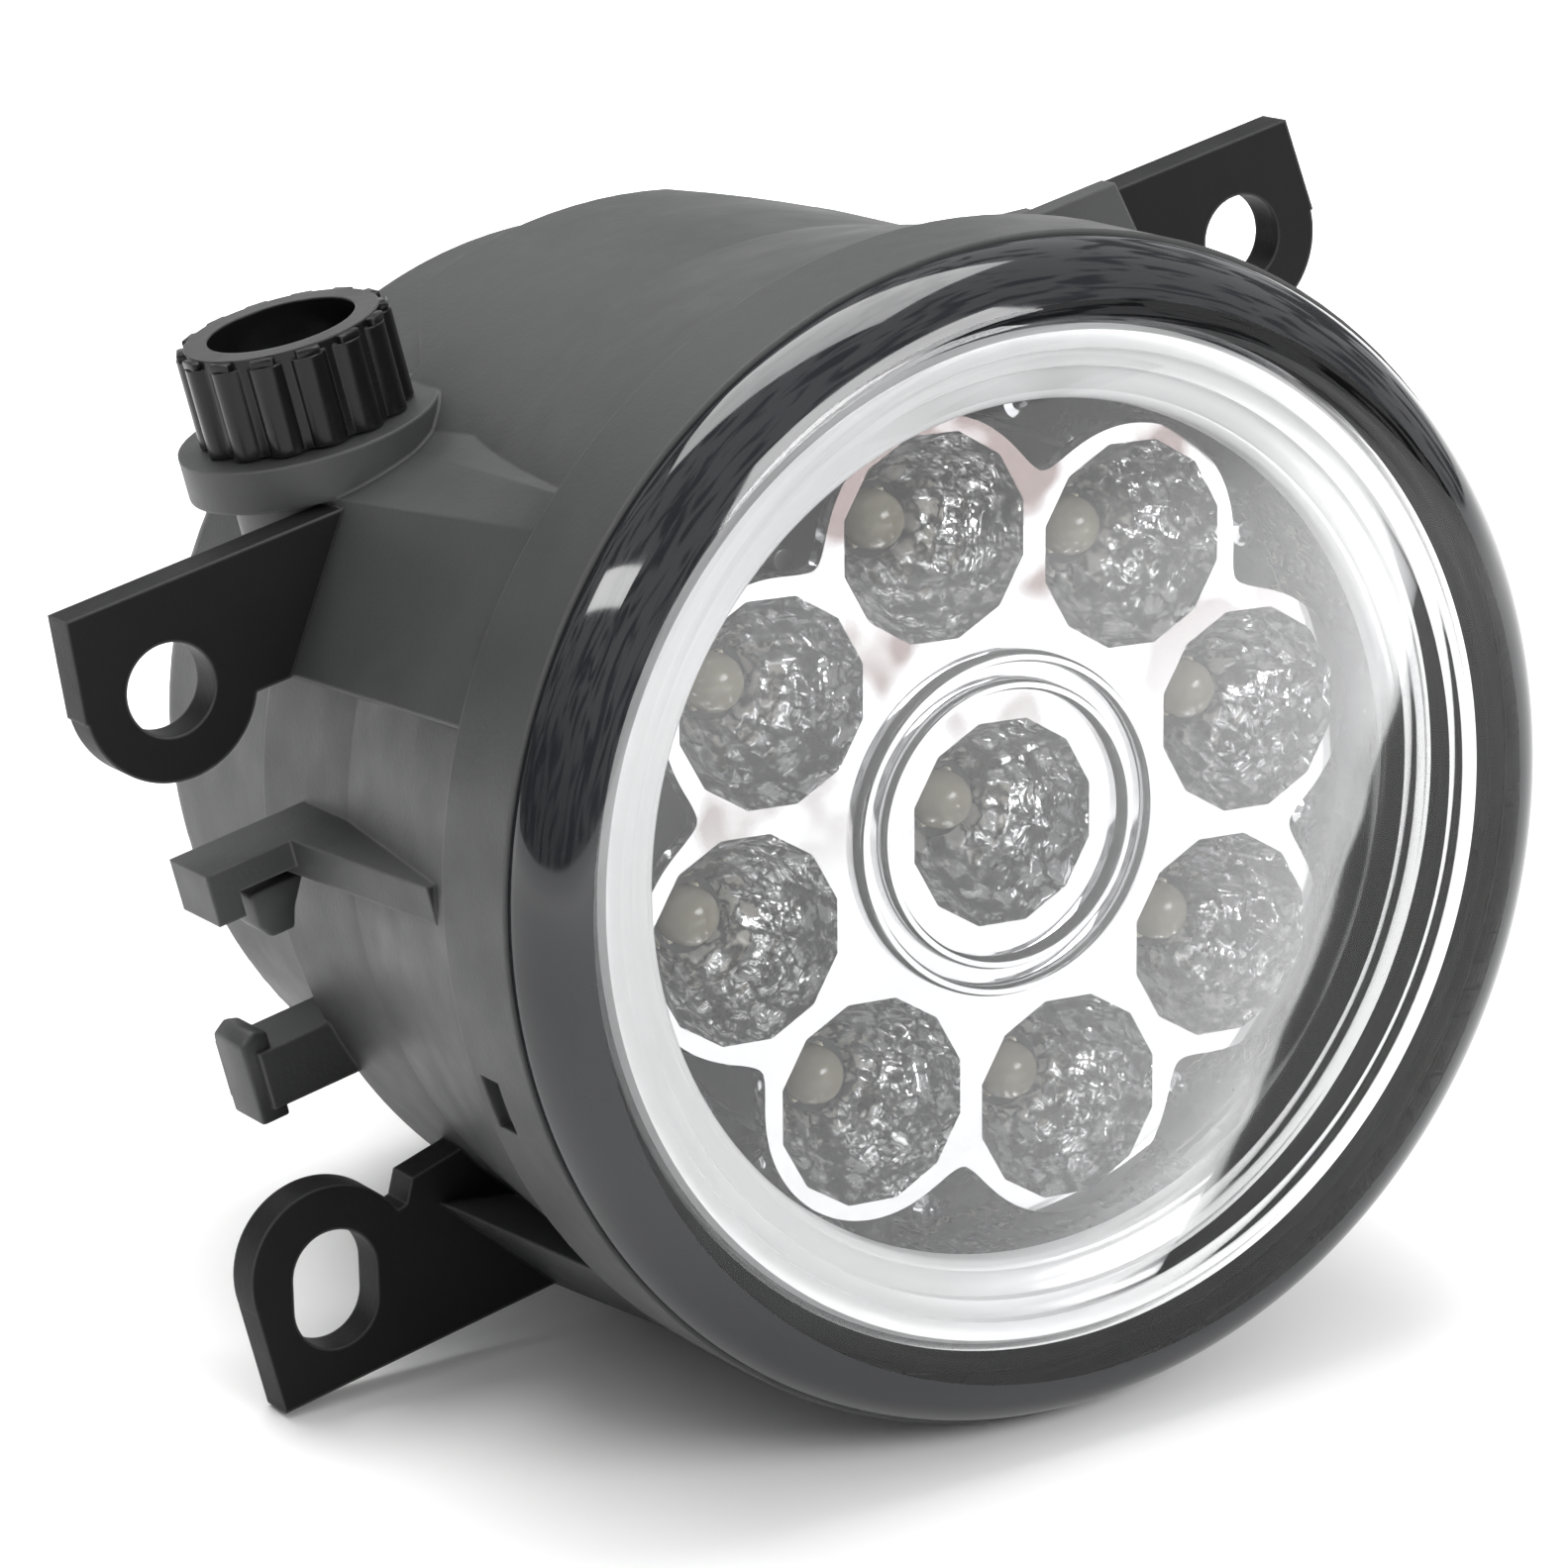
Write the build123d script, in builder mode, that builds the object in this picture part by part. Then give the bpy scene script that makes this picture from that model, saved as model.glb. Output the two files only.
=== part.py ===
from build123d import *
import os
from math import cos, sin, radians

os.makedirs("parts", exist_ok=True)

# The lamp looks along -Y, with +X to the right seen from the front and +Z up.
# The origin is on the optical axis, at the front face of the housing's round collar.
# Every "_y" value is a distance behind that face, and all sizes are millimetres.

# ---- clearances ----
FIT = 0.05                     # running clearance on the radius
PRESS = 0.02                   # gap left at a press fit

# ---- lens ----
LENS_R = 45.0
LENS_LIP = 0.5                 # straight edge in front of the collar
SHOULDER_MID = (43.1, -3.8)    # point on the rounded shoulder, as (radius, y)
SHOULDER_R = 38.8              # crease between the shoulder and the face
SHOULDER_Y = -5.4
LENS_CROWN = 1.6               # how far the face bulges in front of the crease
LENS_T = 2.6
SKIRT_R = 43.2                 # skirt, glued into the collar
SKIRT_IN_R = 41.6
SKIRT_Y = 5.6

# ---- housing ----
COLLAR_R = 45.4
COLLAR_Y = 9.3
COLLAR_BORE_R = 43.4
LEDGE_Y = 6.5                  # ledge that the lens seal lies on
BARREL_FRONT_R = 44.7
BARREL_R = 42.0
BARREL_IN_FRONT_R = 40.6
BARREL_IN_R = 39.4
TAPER_END_Y = 31.0
STEP_Y = 45.5                  # where the barrel steps in to the rear shell
SHELL_R = 39.0
SHELL_END_R = 38.2
SHELL_END_Y = 70.0
SHELL_WALL = 1.8
REAR_Y = 73.0                  # rear face
REAR_EDGE_R = 35.0
REAR_T = 2.6
REAR_OPENING_R = 26.2
COVER_BOSS_R = 2.7
COVER_BOSS_DEPTH = 8.0
COVER_PILOT_R = 1.3

HOOD_END_Y = 57.5              # hood over the top of the rear shell
HOOD_END_R = 41.9
HOOD_HALF_FRONT = 19.0
HOOD_HALF_REAR = 11.3
HOOD_EDGE_R = 0.8

EAR_Y = 34.0                   # front face of the three fixing ears
EAR_T = 3.2
EAR_X = 50.0                   # fixing holes
EAR_Z = 25.2
EAR_HOLE_R = 3.6
EAR_EDGE_X = 57.3
EAR_EDGE_Z = 33.2
EAR_ROUND_R = 7.1
EAR_ROOT_X = 28.0
EAR_ROOT_Z = 22.4
EAR_CORNER_R = 1.8
SLOT_LENGTH = 9.6
SLOT_TURN = -14.0
PAD_FRONT = [(-29.2, 34.3), (-26.6, 36.2), (-22.0, 36.0), (-32.0, 24.0), (-38.8, EAR_ROOT_Z)]
PAD_REAR = [(-32.7, 33.6), (-25.2, 34.6), (-20.0, 36.0), (-30.0, 26.0), (-40.7, EAR_ROOT_Z)]
GUSSET = [(27.0, 34.4), (38.2, 34.4), (41.0, EAR_ROOT_Z), (34.0, EAR_ROOT_Z)]
GUSSET_T = 2.0

HOOK_IN_X = -40.0              # upper hook: rib along the barrel, arm and lip
HOOK_OUT_X = -52.3
HOOK_LOW_Z = 7.0
HOOK_ARM_Z = 9.0
HOOK_TOP_Z = 11.2
HOOK_Y = 32.1
HOOK_END_Y = 38.4
HOOK_RIB_Y = 12.5
HOOK_RIB_X = -43.6
HOOK_RIB_END_X = -45.4
HOOK_RIB_Z = 8.2
HOOK_LIP = 2.3
CATCH = [(-36.2, 44.6), (-47.4, 44.6), (-48.3, 50.8), (-36.2, 50.8)]
CATCH_LOW_Z = -14.0
CATCH_TOP_Z = -9.2

NOTCH_Y = 5.2                  # glue inspection notch in the collar
NOTCH_END_Y = 8.0
NOTCH_LOW_Z = -6.4
NOTCH_TOP_Z = -2.0
NOTCH_DEPTH = 1.4

# ---- aiming knob, screw and nut, on one vertical axis ----
KNOB_X = -29.0
KNOB_Y = 45.0
KNOB_R = 8.45
KNOB_CORE_R = 7.7
KNOB_RIBS = 14
KNOB_RIB_R = 1.55
KNOB_RIB_DROP = 0.7            # the ribs stop short of the rim
KNOB_HOLLOW_R = 5.85
KNOB_FLOOR = 1.8
KNOB_BASE_Z = 37.2
KNOB_TOP_Z = 45.0
BOSS_R = 10.3
BOSS_TOP_Z = 37.0
BOSS_LOW_Z = 33.6
STUB_R = 7.2
STUB_LOW_Z = 16.8
SEAL_SEAT_R = 4.4
SEAL_SEAT_DEPTH = 2.4
SEAL_RING_R = 3.4
SEAL_CORD_R = 0.9
SPINDLE_R = 2.45
SPINDLE_LOW_Z = 15.3
SOCKET_HEAD_R = 3.6
SOCKET_HEAD_T = 2.2
SOCKET_HEX_R = 2.3
SOCKET_FLOOR = 0.4
CLIP_Z = 15.9
CLIP_T = 0.7
CLIP_R = 3.6
CLIP_GROOVE_R = 1.9
CLIP_MOUTH = (2.6, 4.0)
CLIP_MOUTH_OUT = 3.4
SCREW_R = 2.0
SCREW_TIP_Z = 4.0
NUT_Z = 10.5
NUT_NECK = 5.4                 # square neck that the fork holds
NUT_NECK_H = 4.0
NUT_FLANGE_R = 4.4
NUT_FLANGE_T = 1.3

# ---- light unit: reflector, board and heat sink on a tilting carrier ----
PIVOT_Y = 19.0
PIN_R = 1.5
PIN_IN_X = 33.5
PIN_LENGTH = 6.1
CUP_RING_R = 23.2
CUP_COUNT = 8
CUP_SIDES = 12
CUP_R = 8.1
CUP_FLOOR_R = 3.2
CUP_WALL = 0.7
CUP_FLOOR_Y = 14.4
CUT_PAST = 0.05                # cuts run this far past the faces they open
PLATE_Y = 5.2
PLATE_T = 1.3
PLATE_CORE_R = 24.0
LOBE_R = 9.2
RIDGE_RINGS = [(13.3, 12.4), (11.2, 10.3)]
RIDGE_H = 1.4
LEG_RING_R = 26.5
LEG_COUNT = 4
LEG_ANGLE = 22.5
LEG_PAD_R = 2.6
LEG_R = 1.7
LEG_PILOT_R = 0.9
LEG_PILOT_DEPTH = 6.0
BOWL_RIM_R = 36.7
BOWL_RIM_Y = 4.2
BOWL_BASE_R = 33.2
BOWL_BASE_Y = 16.0
BOWL_IN_R = 28.9
BOWL_T = 0.8
BOARD_Y = 15.2
BOARD_T = 1.6
BOARD_R = 28.6
BOARD_HOLE_R = 1.2
CHIP_SIZE = 3.6
CHIP_T = 0.7
DOME_R = 2.3
DOME_EDGE_Y = 13.6
DOME_APEX_Y = 11.4
PAD_T = 0.4
PAD_HOLE_R = 1.4
SINK_Y = 17.2
SINK_T = 3.2
SINK_R = 33.2
FIN_COUNT = 8
FIN_PITCH = 6.0
FIN_T = 1.6
FIN_SPAN_R = 26.5
FIN_END_Y = 36.0
FIN_RELIEF_R = 2.5
CARRIER_Y = SINK_Y + SINK_T
CARRIER_END_Y = 24.0
CARRIER_R = 36.4
CARRIER_IN_R = 28.6
TRUNNION = (33.4, 36.3)        # pin blocks, from x to x
TRUNNION_Y = 15.9
TRUNNION_HALF = 4.5
ARM_HALF = 3.0
FORK_HALF = 4.6
FORK_Y = 38.0
FORK_END_Y = 49.5
FORK_T = 3.2
FORK_GAP = 0.3                 # each side of the nut's neck
BOWL_SCREW_RING_R = 30.6
BOWL_SCREW_COUNT = 3
SCREW_CLEAR_R = 1.3
SCREW_HOLD_R = 1.0

# ---- rear cover, inlet and driver ----
COVER_Y = REAR_Y + 0.8
COVER_T = 2.6
COVER_R = 32.2
COVER_SPIGOT_DEPTH = 4.6
COVER_SPIGOT_T = 2.0
COVER_SCREW_RING_R = 28.9
COVER_SCREW_COUNT = 4
COVER_HOLE_R = 1.5
INLET_Z = -6.0
INLET_SIZE = (17.0, 12.4)
INLET_BORE = (13.4, 8.8)
INLET_END_Y = COVER_Y + 18.2
INLET_FLOOR_Y = COVER_Y + 3.4
LATCH = [(-3.5, 0.1), (3.5, 0.1), (3.5, 1.9), (-3.5, 1.9)]
LATCH_Y = INLET_END_Y - 9.0
LATCH_END_Y = INLET_END_Y - 4.0
BLADE_X = 3.2
BLADE_SIZE = (0.8, 2.8)
BLADE_END_Y = INLET_END_Y - 7.0
BLADE_SLOT = (0.9, 2.9)
VENT_Z = 16.0
VENT_R = 5.0
VENT_T = 3.6
VENT_STEM_R = 1.55
DRIVER_Y = REAR_Y - 10.0
DRIVER_T = 1.6
DRIVER_SIZE = (36.0, 26.0)
POST_PITCH = (28.0, 18.0)
POST_R = 2.0

blades = [(-BLADE_X, INLET_Z), (BLADE_X, INLET_Z)]
cup_spots = [(0.0, 0.0)]
for k in range(CUP_COUNT):
    turn = radians(90 + 360 / CUP_COUNT * k)
    cup_spots.append((CUP_RING_R * cos(turn), CUP_RING_R * sin(turn)))


def upright(y):
    """Plane across the optical axis at depth y, with X to the right and Z up."""
    return Plane.XZ.offset(-y)


def turned(*points):
    """Solid turned about the optical axis from a closed outline of (radius, y) points."""
    with BuildPart() as ring:
        with BuildSketch(Plane.XY):
            with BuildLine():
                Polyline(*points, close=True)
            make_face()
        revolve(axis=Axis.Y)
    return ring.part


def slab(y_front, y_back, points):
    """Plate across the optical axis with an outline of (x, z) points."""
    with BuildPart() as plate:
        with BuildSketch(upright(y_front)):
            with BuildLine():
                Polyline(*points, close=True)
            make_face()
        extrude(amount=y_front - y_back)
    return plate.part


def shelf(z_low, z_high, points):
    """Flat piece with a plan outline of (x, y) points."""
    with BuildPart() as plate:
        with BuildSketch(Plane.XY.offset(z_low)):
            with BuildLine():
                Polyline(*points, close=True)
            make_face()
        extrude(amount=z_high - z_low)
    return plate.part


def block(x_low, x_high, y_low, y_high):
    """Corners of a rectangle in plan."""
    return [(x_low, y_low), (x_high, y_low), (x_high, y_high), (x_low, y_high)]


def rod(z_low, z_high, radius):
    """Round bar on the aiming axis."""
    with BuildPart() as bar:
        with BuildSketch(Plane.XY.offset(z_low)):
            with Locations((KNOB_X, KNOB_Y)):
                Circle(radius)
        extrude(amount=z_high - z_low)
    return bar.part


def crown(edge_r, edge_y, apex_y):
    """Point midway along a dome's arc whose centre is on the axis, as (radius, y)."""
    rise = edge_y - apex_y
    dome_r = (edge_r**2 + rise**2) / (2 * rise)
    return edge_r / 2, apex_y + dome_r - (dome_r**2 - edge_r**2 / 4) ** 0.5


def save(piece, name):
    piece.label = name
    export_step(piece, f"parts/{name}.step")


# ---- pad: raised block beside each ear, flush with the collar at the front ----
with BuildPart() as ear_pad:
    with BuildSketch(upright(COLLAR_Y)):
        with BuildLine():
            Polyline(*PAD_FRONT, close=True)
        make_face()
    with BuildSketch(upright(EAR_Y + EAR_T)):
        with BuildLine():
            Polyline(*PAD_REAR, close=True)
        make_face()
    loft()

# ---- hood: the barrel's outer skin carried on over the top of the rear shell ----
with BuildPart() as hood:
    with BuildSketch(Plane.XY):
        with BuildLine():
            Polyline(
                (SHELL_R - 1, STEP_Y - 1),
                (BARREL_R, STEP_Y - 1),
                (HOOD_END_R, HOOD_END_Y),
                (SHELL_R - 1, HOOD_END_Y),
                close=True,
            )
        make_face()
    revolve(axis=Axis.Y)
    with BuildSketch(Plane.XY):
        with BuildLine():
            Polyline(
                (-HOOD_HALF_FRONT, STEP_Y - 1),
                (-HOOD_HALF_REAR, HOOD_END_Y),
                (HOOD_HALF_REAR, HOOD_END_Y),
                (HOOD_HALF_FRONT, STEP_Y - 1),
                close=True,
            )
        make_face()
    extrude(amount=LENS_R, mode=Mode.INTERSECT)
    fillet(hood.edges().filter_by(GeomType.CIRCLE).sort_by(Axis.Y)[-1:], HOOD_EDGE_R)

# ---- housing: one moulding with its barrel, pads, knob boss and locating hooks ----
with BuildPart() as housing:
    with BuildSketch(Plane.XY):
        with BuildLine():
            Polyline(
                (SHELL_END_R, SHELL_END_Y),
                (SHELL_R, STEP_Y),
                (BARREL_R, STEP_Y),
                (BARREL_R, TAPER_END_Y),
                (BARREL_FRONT_R, COLLAR_Y),
                (COLLAR_R, COLLAR_Y),
                (COLLAR_R, 0),
                (COLLAR_BORE_R, 0),
                (COLLAR_BORE_R, LEDGE_Y),
                (BARREL_IN_FRONT_R, LEDGE_Y),
                (BARREL_IN_R, TAPER_END_Y),
                (BARREL_IN_R, STEP_Y - 3.0),
                (SHELL_R - SHELL_WALL, STEP_Y - 1.0),
                (SHELL_END_R - SHELL_WALL, SHELL_END_Y - 2.0),
                (REAR_EDGE_R - SHELL_WALL, REAR_Y - REAR_T),
                (REAR_OPENING_R, REAR_Y - REAR_T),
                (REAR_OPENING_R, REAR_Y),
                (REAR_EDGE_R, REAR_Y),
            )
            rear_corner = (SHELL_END_R - 0.9, REAR_Y - 0.9)
            ThreePointArc((REAR_EDGE_R, REAR_Y), rear_corner, (SHELL_END_R, SHELL_END_Y))
        make_face()
    revolve(axis=Axis.Y)
    # upper hook and its rib, and the catch on the rear shell
    hook_rib = [
        (HOOK_IN_X, HOOK_RIB_Y),
        (HOOK_RIB_X, HOOK_RIB_Y),
        (HOOK_RIB_END_X, HOOK_END_Y),
        (HOOK_IN_X, HOOK_END_Y),
    ]
    add(shelf(HOOK_RIB_Z, HOOK_TOP_Z, hook_rib))
    add(shelf(HOOK_ARM_Z, HOOK_TOP_Z, block(HOOK_OUT_X, HOOK_IN_X, HOOK_Y, HOOK_END_Y)))
    add(shelf(HOOK_LOW_Z, HOOK_TOP_Z, block(HOOK_OUT_X, HOOK_OUT_X + HOOK_LIP, HOOK_Y, HOOK_END_Y)))
    add(shelf(CATCH_LOW_Z, CATCH_TOP_Z, CATCH))
    add(ear_pad.part)
    add(ear_pad.part.mirror(Plane.YZ))
    add(ear_pad.part.mirror(Plane.XY))
    # gusset in front of the right ear's root
    add(slab(EAR_Y - GUSSET_T, EAR_Y, GUSSET))
    # boss under the knob: a collar on a narrower stub that runs down into the barrel
    add(rod(STUB_LOW_Z, BOSS_LOW_Z, STUB_R))
    add(rod(BOSS_LOW_Z, BOSS_TOP_Z, BOSS_R))
    add(hood.part)
    # bearings for the pivot pins, inside the barrel
    bearing_in = TRUNNION[1] + 0.7
    bearing_out = BARREL_IN_FRONT_R
    for side in (-1, 1):
        bearing = [
            (side * bearing_in, -4.0),
            (side * bearing_out, -4.0),
            (side * bearing_out, 4.0),
            (side * bearing_in, 4.0),
        ]
        add(slab(PIVOT_Y - 4.0, PIVOT_Y + 4.0, bearing))
    with BuildSketch(Plane.YZ.offset(-HOOK_IN_X)):
        with Locations((PIVOT_Y, 0)):
            Circle(PIN_R + FIT)
    extrude(amount=2 * HOOK_IN_X, mode=Mode.SUBTRACT)
    # bosses for the cover screws, inside the rear face
    with BuildSketch(upright(REAR_Y - COVER_BOSS_DEPTH)):
        with PolarLocations(COVER_SCREW_RING_R, COVER_SCREW_COUNT, start_angle=45):
            Circle(COVER_BOSS_R)
    extrude(amount=1.0 - COVER_BOSS_DEPTH)
    with BuildSketch(upright(REAR_Y - COVER_BOSS_DEPTH)):
        with PolarLocations(COVER_SCREW_RING_R, COVER_SCREW_COUNT, start_angle=45):
            Circle(COVER_PILOT_R)
    extrude(amount=-1.0 - COVER_BOSS_DEPTH, mode=Mode.SUBTRACT)
    # bore and seal seat for the knob spindle
    add(rod(STUB_LOW_Z - 1, BOSS_TOP_Z, SPINDLE_R + FIT), mode=Mode.SUBTRACT)
    add(rod(BOSS_TOP_Z - SEAL_SEAT_DEPTH, BOSS_TOP_Z + 1, SEAL_SEAT_R), mode=Mode.SUBTRACT)
    # glue inspection notch
    notch = block(-COLLAR_R - 1, -COLLAR_R + NOTCH_DEPTH, NOTCH_Y, NOTCH_END_Y)
    add(shelf(NOTCH_LOW_Z, NOTCH_TOP_Z, notch), mode=Mode.SUBTRACT)
save(housing.part, "housing")

# ---- ears: flat fixing lugs on the housing, the lower one slotted ----
ear_root = [(0, EAR_Y - 1), (BARREL_R, EAR_Y - 1), (BARREL_R, EAR_Y + EAR_T + 1), (0, EAR_Y + EAR_T + 1)]
ear_core = turned(*ear_root)

with BuildPart() as left_ear:
    with BuildSketch(upright(EAR_Y)):
        with BuildLine():
            Polyline(
                (-EAR_EDGE_X, EAR_Z),
                (-EAR_EDGE_X + 0.8, EAR_EDGE_Z),
                (-EAR_ROOT_X, EAR_EDGE_Z),
                (-EAR_ROOT_X, EAR_ROOT_Z),
                (-EAR_X + 3.0, EAR_ROOT_Z),
                close=True,
            )
        make_face()
        with Locations((-EAR_X, EAR_Z)):
            Circle(EAR_ROUND_R)
        fillet([v for v in vertices() if v.X < -EAR_EDGE_X + 1 and v.Z > EAR_EDGE_Z - 1], EAR_CORNER_R)
        with Locations((-EAR_X, EAR_Z)):
            Circle(EAR_HOLE_R, mode=Mode.SUBTRACT)
    extrude(amount=-EAR_T)
    add(ear_core, mode=Mode.SUBTRACT)
    add(ear_pad.part, mode=Mode.SUBTRACT)
left_lug = left_ear.part.solids().sort_by(SortBy.VOLUME)[-1]
save(left_lug, "left_ear")
save(left_lug.mirror(Plane.YZ), "right_ear")

with BuildPart() as lower_ear:
    with BuildSketch(upright(EAR_Y)):
        with BuildLine():
            Polyline(
                (-EAR_EDGE_X - 0.3, -EAR_Z + 0.8),
                (-EAR_EDGE_X - 0.3, -EAR_EDGE_Z + 0.2),
                (-EAR_ROOT_X, -EAR_EDGE_Z + 0.2),
                (-EAR_ROOT_X, -17.0),
                (-38.0, -18.9),
                (-42.2, -19.4),
                (-43.2, -21.2),
                close=True,
            )
        make_face()
        with Locations((-EAR_X - 0.6, -EAR_Z + 1.4)):
            Circle(EAR_ROUND_R - 0.1)
        fillet([v for v in vertices() if v.X < -EAR_EDGE_X + 1 and v.Z < -EAR_EDGE_Z + 1], EAR_CORNER_R)
        with Locations(Location((-EAR_X - 0.8, -EAR_Z), SLOT_TURN + 90)):
            SlotOverall(SLOT_LENGTH, 2 * EAR_HOLE_R, mode=Mode.SUBTRACT)
    extrude(amount=-EAR_T)
    add(ear_core, mode=Mode.SUBTRACT)
    add(ear_pad.part.mirror(Plane.XY), mode=Mode.SUBTRACT)
save(lower_ear.part, "lower_ear")

# ---- lens: clear moulding with a rounded shoulder and a skirt glued into the collar ----
lens_apex = SHOULDER_Y - LENS_CROWN
inner_shoulder = (SHOULDER_R - 0.8, SHOULDER_Y + LENS_T)
inner_edge = (SKIRT_IN_R, 0.6)
with BuildPart() as lens:
    with BuildSketch(Plane.XY):
        with BuildLine():
            Polyline(
                inner_edge,
                (SKIRT_IN_R, SKIRT_Y),
                (SKIRT_R, SKIRT_Y),
                (SKIRT_R, 0),
                (LENS_R, 0),
                (LENS_R, -LENS_LIP),
            )
            ThreePointArc((LENS_R, -LENS_LIP), SHOULDER_MID, (SHOULDER_R, SHOULDER_Y))
            ThreePointArc((SHOULDER_R, SHOULDER_Y), crown(SHOULDER_R, SHOULDER_Y, lens_apex), (0, lens_apex))
            Line((0, lens_apex), (0, lens_apex + LENS_T))
            ThreePointArc((0, lens_apex + LENS_T), crown(*inner_shoulder, lens_apex + LENS_T), inner_shoulder)
            ThreePointArc(inner_shoulder, (40.9, -1.5), inner_edge)
        make_face()
    revolve(axis=Axis.Y)
save(lens.part, "lens")

# ---- rings behind the lens ----
seal_in_r = SKIRT_IN_R + FIT
seal_out_r = COLLAR_BORE_R - FIT
seal_outline = [(seal_in_r, SKIRT_Y), (seal_out_r, SKIRT_Y), (seal_out_r, LEDGE_Y), (seal_in_r, LEDGE_Y)]
save(turned(*seal_outline), "lens_seal")

mask_outline = [(38.9, -1.6), (39.9, -1.4), (41.0, 0.6), (41.4, 2.0), (41.4, LEDGE_Y), (38.0, LEDGE_Y)]
mask_ring = turned(*mask_outline, (38.0, 5.3), (38.9, 5.3))
save(mask_ring, "mask_ring")

trim_front = [(38.3, -2.2), (37.0, -1.9), (36.7, -1.3), (35.5, -1.0), (35.2, -0.4), (33.8, 0.0), (33.3, 0.3)]
trim_lip = [(32.8, 1.0), (32.7, 2.0), (33.4, 2.0), (33.7, 1.3), (34.3, 0.9)]
trim_back = [(35.8, 0.5), (36.1, -0.1), (37.3, -0.5), (38.1, -0.6), (38.1, 5.3), (38.7, 5.3), (38.7, -1.6)]
trim_ring = turned(*trim_front, *trim_lip, *trim_back)
save(trim_ring, "trim_ring")

# ---- reflector: metallised plate with nine twelve-sided cups on a petal outline ----
with BuildPart() as reflector:
    with BuildSketch(upright(PLATE_Y)):
        Circle(PLATE_CORE_R)
        with Locations(*cup_spots[1:]):
            Circle(LOBE_R)
        with PolarLocations(LEG_RING_R, LEG_COUNT, start_angle=LEG_ANGLE):
            Circle(LEG_PAD_R)
    extrude(amount=-PLATE_T)
    for spot in cup_spots:
        with BuildSketch(upright(PLATE_Y)):
            with Locations(spot):
                RegularPolygon(CUP_R + CUP_WALL, CUP_SIDES)
        with BuildSketch(upright(CUP_FLOOR_Y)):
            with Locations(spot):
                RegularPolygon(CUP_FLOOR_R + CUP_WALL, CUP_SIDES)
        loft()
    with BuildSketch(upright(PLATE_Y - RIDGE_H)):
        for ridge_out, ridge_in in RIDGE_RINGS:
            Circle(ridge_out)
            Circle(ridge_in, mode=Mode.SUBTRACT)
    extrude(amount=-RIDGE_H - CUT_PAST)
    with BuildSketch(upright(PLATE_Y)):
        with PolarLocations(LEG_RING_R, LEG_COUNT, start_angle=LEG_ANGLE):
            Circle(LEG_R)
    extrude(amount=PLATE_Y - BOARD_Y)
    for spot in cup_spots:
        with BuildSketch(upright(PLATE_Y - CUT_PAST)):
            with Locations(spot):
                RegularPolygon(CUP_R, CUP_SIDES)
        with BuildSketch(upright(CUP_FLOOR_Y + CUT_PAST)):
            with Locations(spot):
                RegularPolygon(CUP_FLOOR_R, CUP_SIDES)
        loft(mode=Mode.SUBTRACT)
    with BuildSketch(upright(BOARD_Y)):
        with PolarLocations(LEG_RING_R, LEG_COUNT, start_angle=LEG_ANGLE):
            Circle(LEG_PILOT_R)
    extrude(amount=LEG_PILOT_DEPTH, mode=Mode.SUBTRACT)
save(reflector.part, "reflector")

# ---- bowl: aluminised dish round the reflector, screwed to the heat sink ----
bowl_outside = [
    (BOWL_RIM_R, BOWL_RIM_Y),
    (36.1, 8.0),
    (35.0, 12.0),
    (BOWL_BASE_R, BOWL_BASE_Y),
    (BOWL_BASE_R, SINK_Y),
]
bowl_inside = [
    (BOWL_IN_R, SINK_Y),
    (BOWL_IN_R, BOWL_BASE_Y),
    (BOWL_BASE_R - BOWL_T, BOWL_BASE_Y),
    (35.0 - BOWL_T, 12.0),
    (36.1 - BOWL_T, 8.0),
    (BOWL_RIM_R - BOWL_T, BOWL_RIM_Y),
]
with BuildPart() as bowl:
    add(turned(*bowl_outside, *bowl_inside))
    with BuildSketch(upright(SINK_Y)):
        with PolarLocations(BOWL_SCREW_RING_R, BOWL_SCREW_COUNT, start_angle=90):
            Circle(SCREW_CLEAR_R)
    extrude(amount=2.0, mode=Mode.SUBTRACT)
save(bowl.part, "bowl")

# ---- LED board, packages and domes ----
with BuildPart() as led_board:
    with BuildSketch(upright(BOARD_Y)):
        Circle(BOARD_R)
        with PolarLocations(LEG_RING_R, LEG_COUNT, start_angle=LEG_ANGLE):
            Circle(BOARD_HOLE_R, mode=Mode.SUBTRACT)
    extrude(amount=-BOARD_T)
save(led_board.part, "led_board")

with BuildPart() as led_chips:
    with BuildSketch(upright(BOARD_Y)):
        with Locations(*cup_spots):
            Rectangle(CHIP_SIZE, CHIP_SIZE)
    extrude(amount=CHIP_T)
save(led_chips.part, "led_chips")

dome_edge = (DOME_R, DOME_EDGE_Y)
with BuildPart() as led_domes:
    for spot in cup_spots:
        with BuildSketch(Plane((spot[0], 0, spot[1]))):
            with BuildLine():
                Polyline((0, DOME_APEX_Y), (0, BOARD_Y - CHIP_T), (DOME_R, BOARD_Y - CHIP_T), dome_edge)
                ThreePointArc(dome_edge, crown(*dome_edge, DOME_APEX_Y), (0, DOME_APEX_Y))
            make_face()
        revolve(axis=Axis((spot[0], 0, spot[1]), (0, 1, 0)))
save(led_domes.part, "led_domes")

with BuildPart() as thermal_pad:
    with BuildSketch(upright(BOARD_Y + BOARD_T)):
        Circle(BOARD_R - 0.2)
        with PolarLocations(LEG_RING_R, LEG_COUNT, start_angle=LEG_ANGLE):
            Circle(PAD_HOLE_R, mode=Mode.SUBTRACT)
    extrude(amount=-PAD_T)
save(thermal_pad.part, "thermal_pad")

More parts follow.
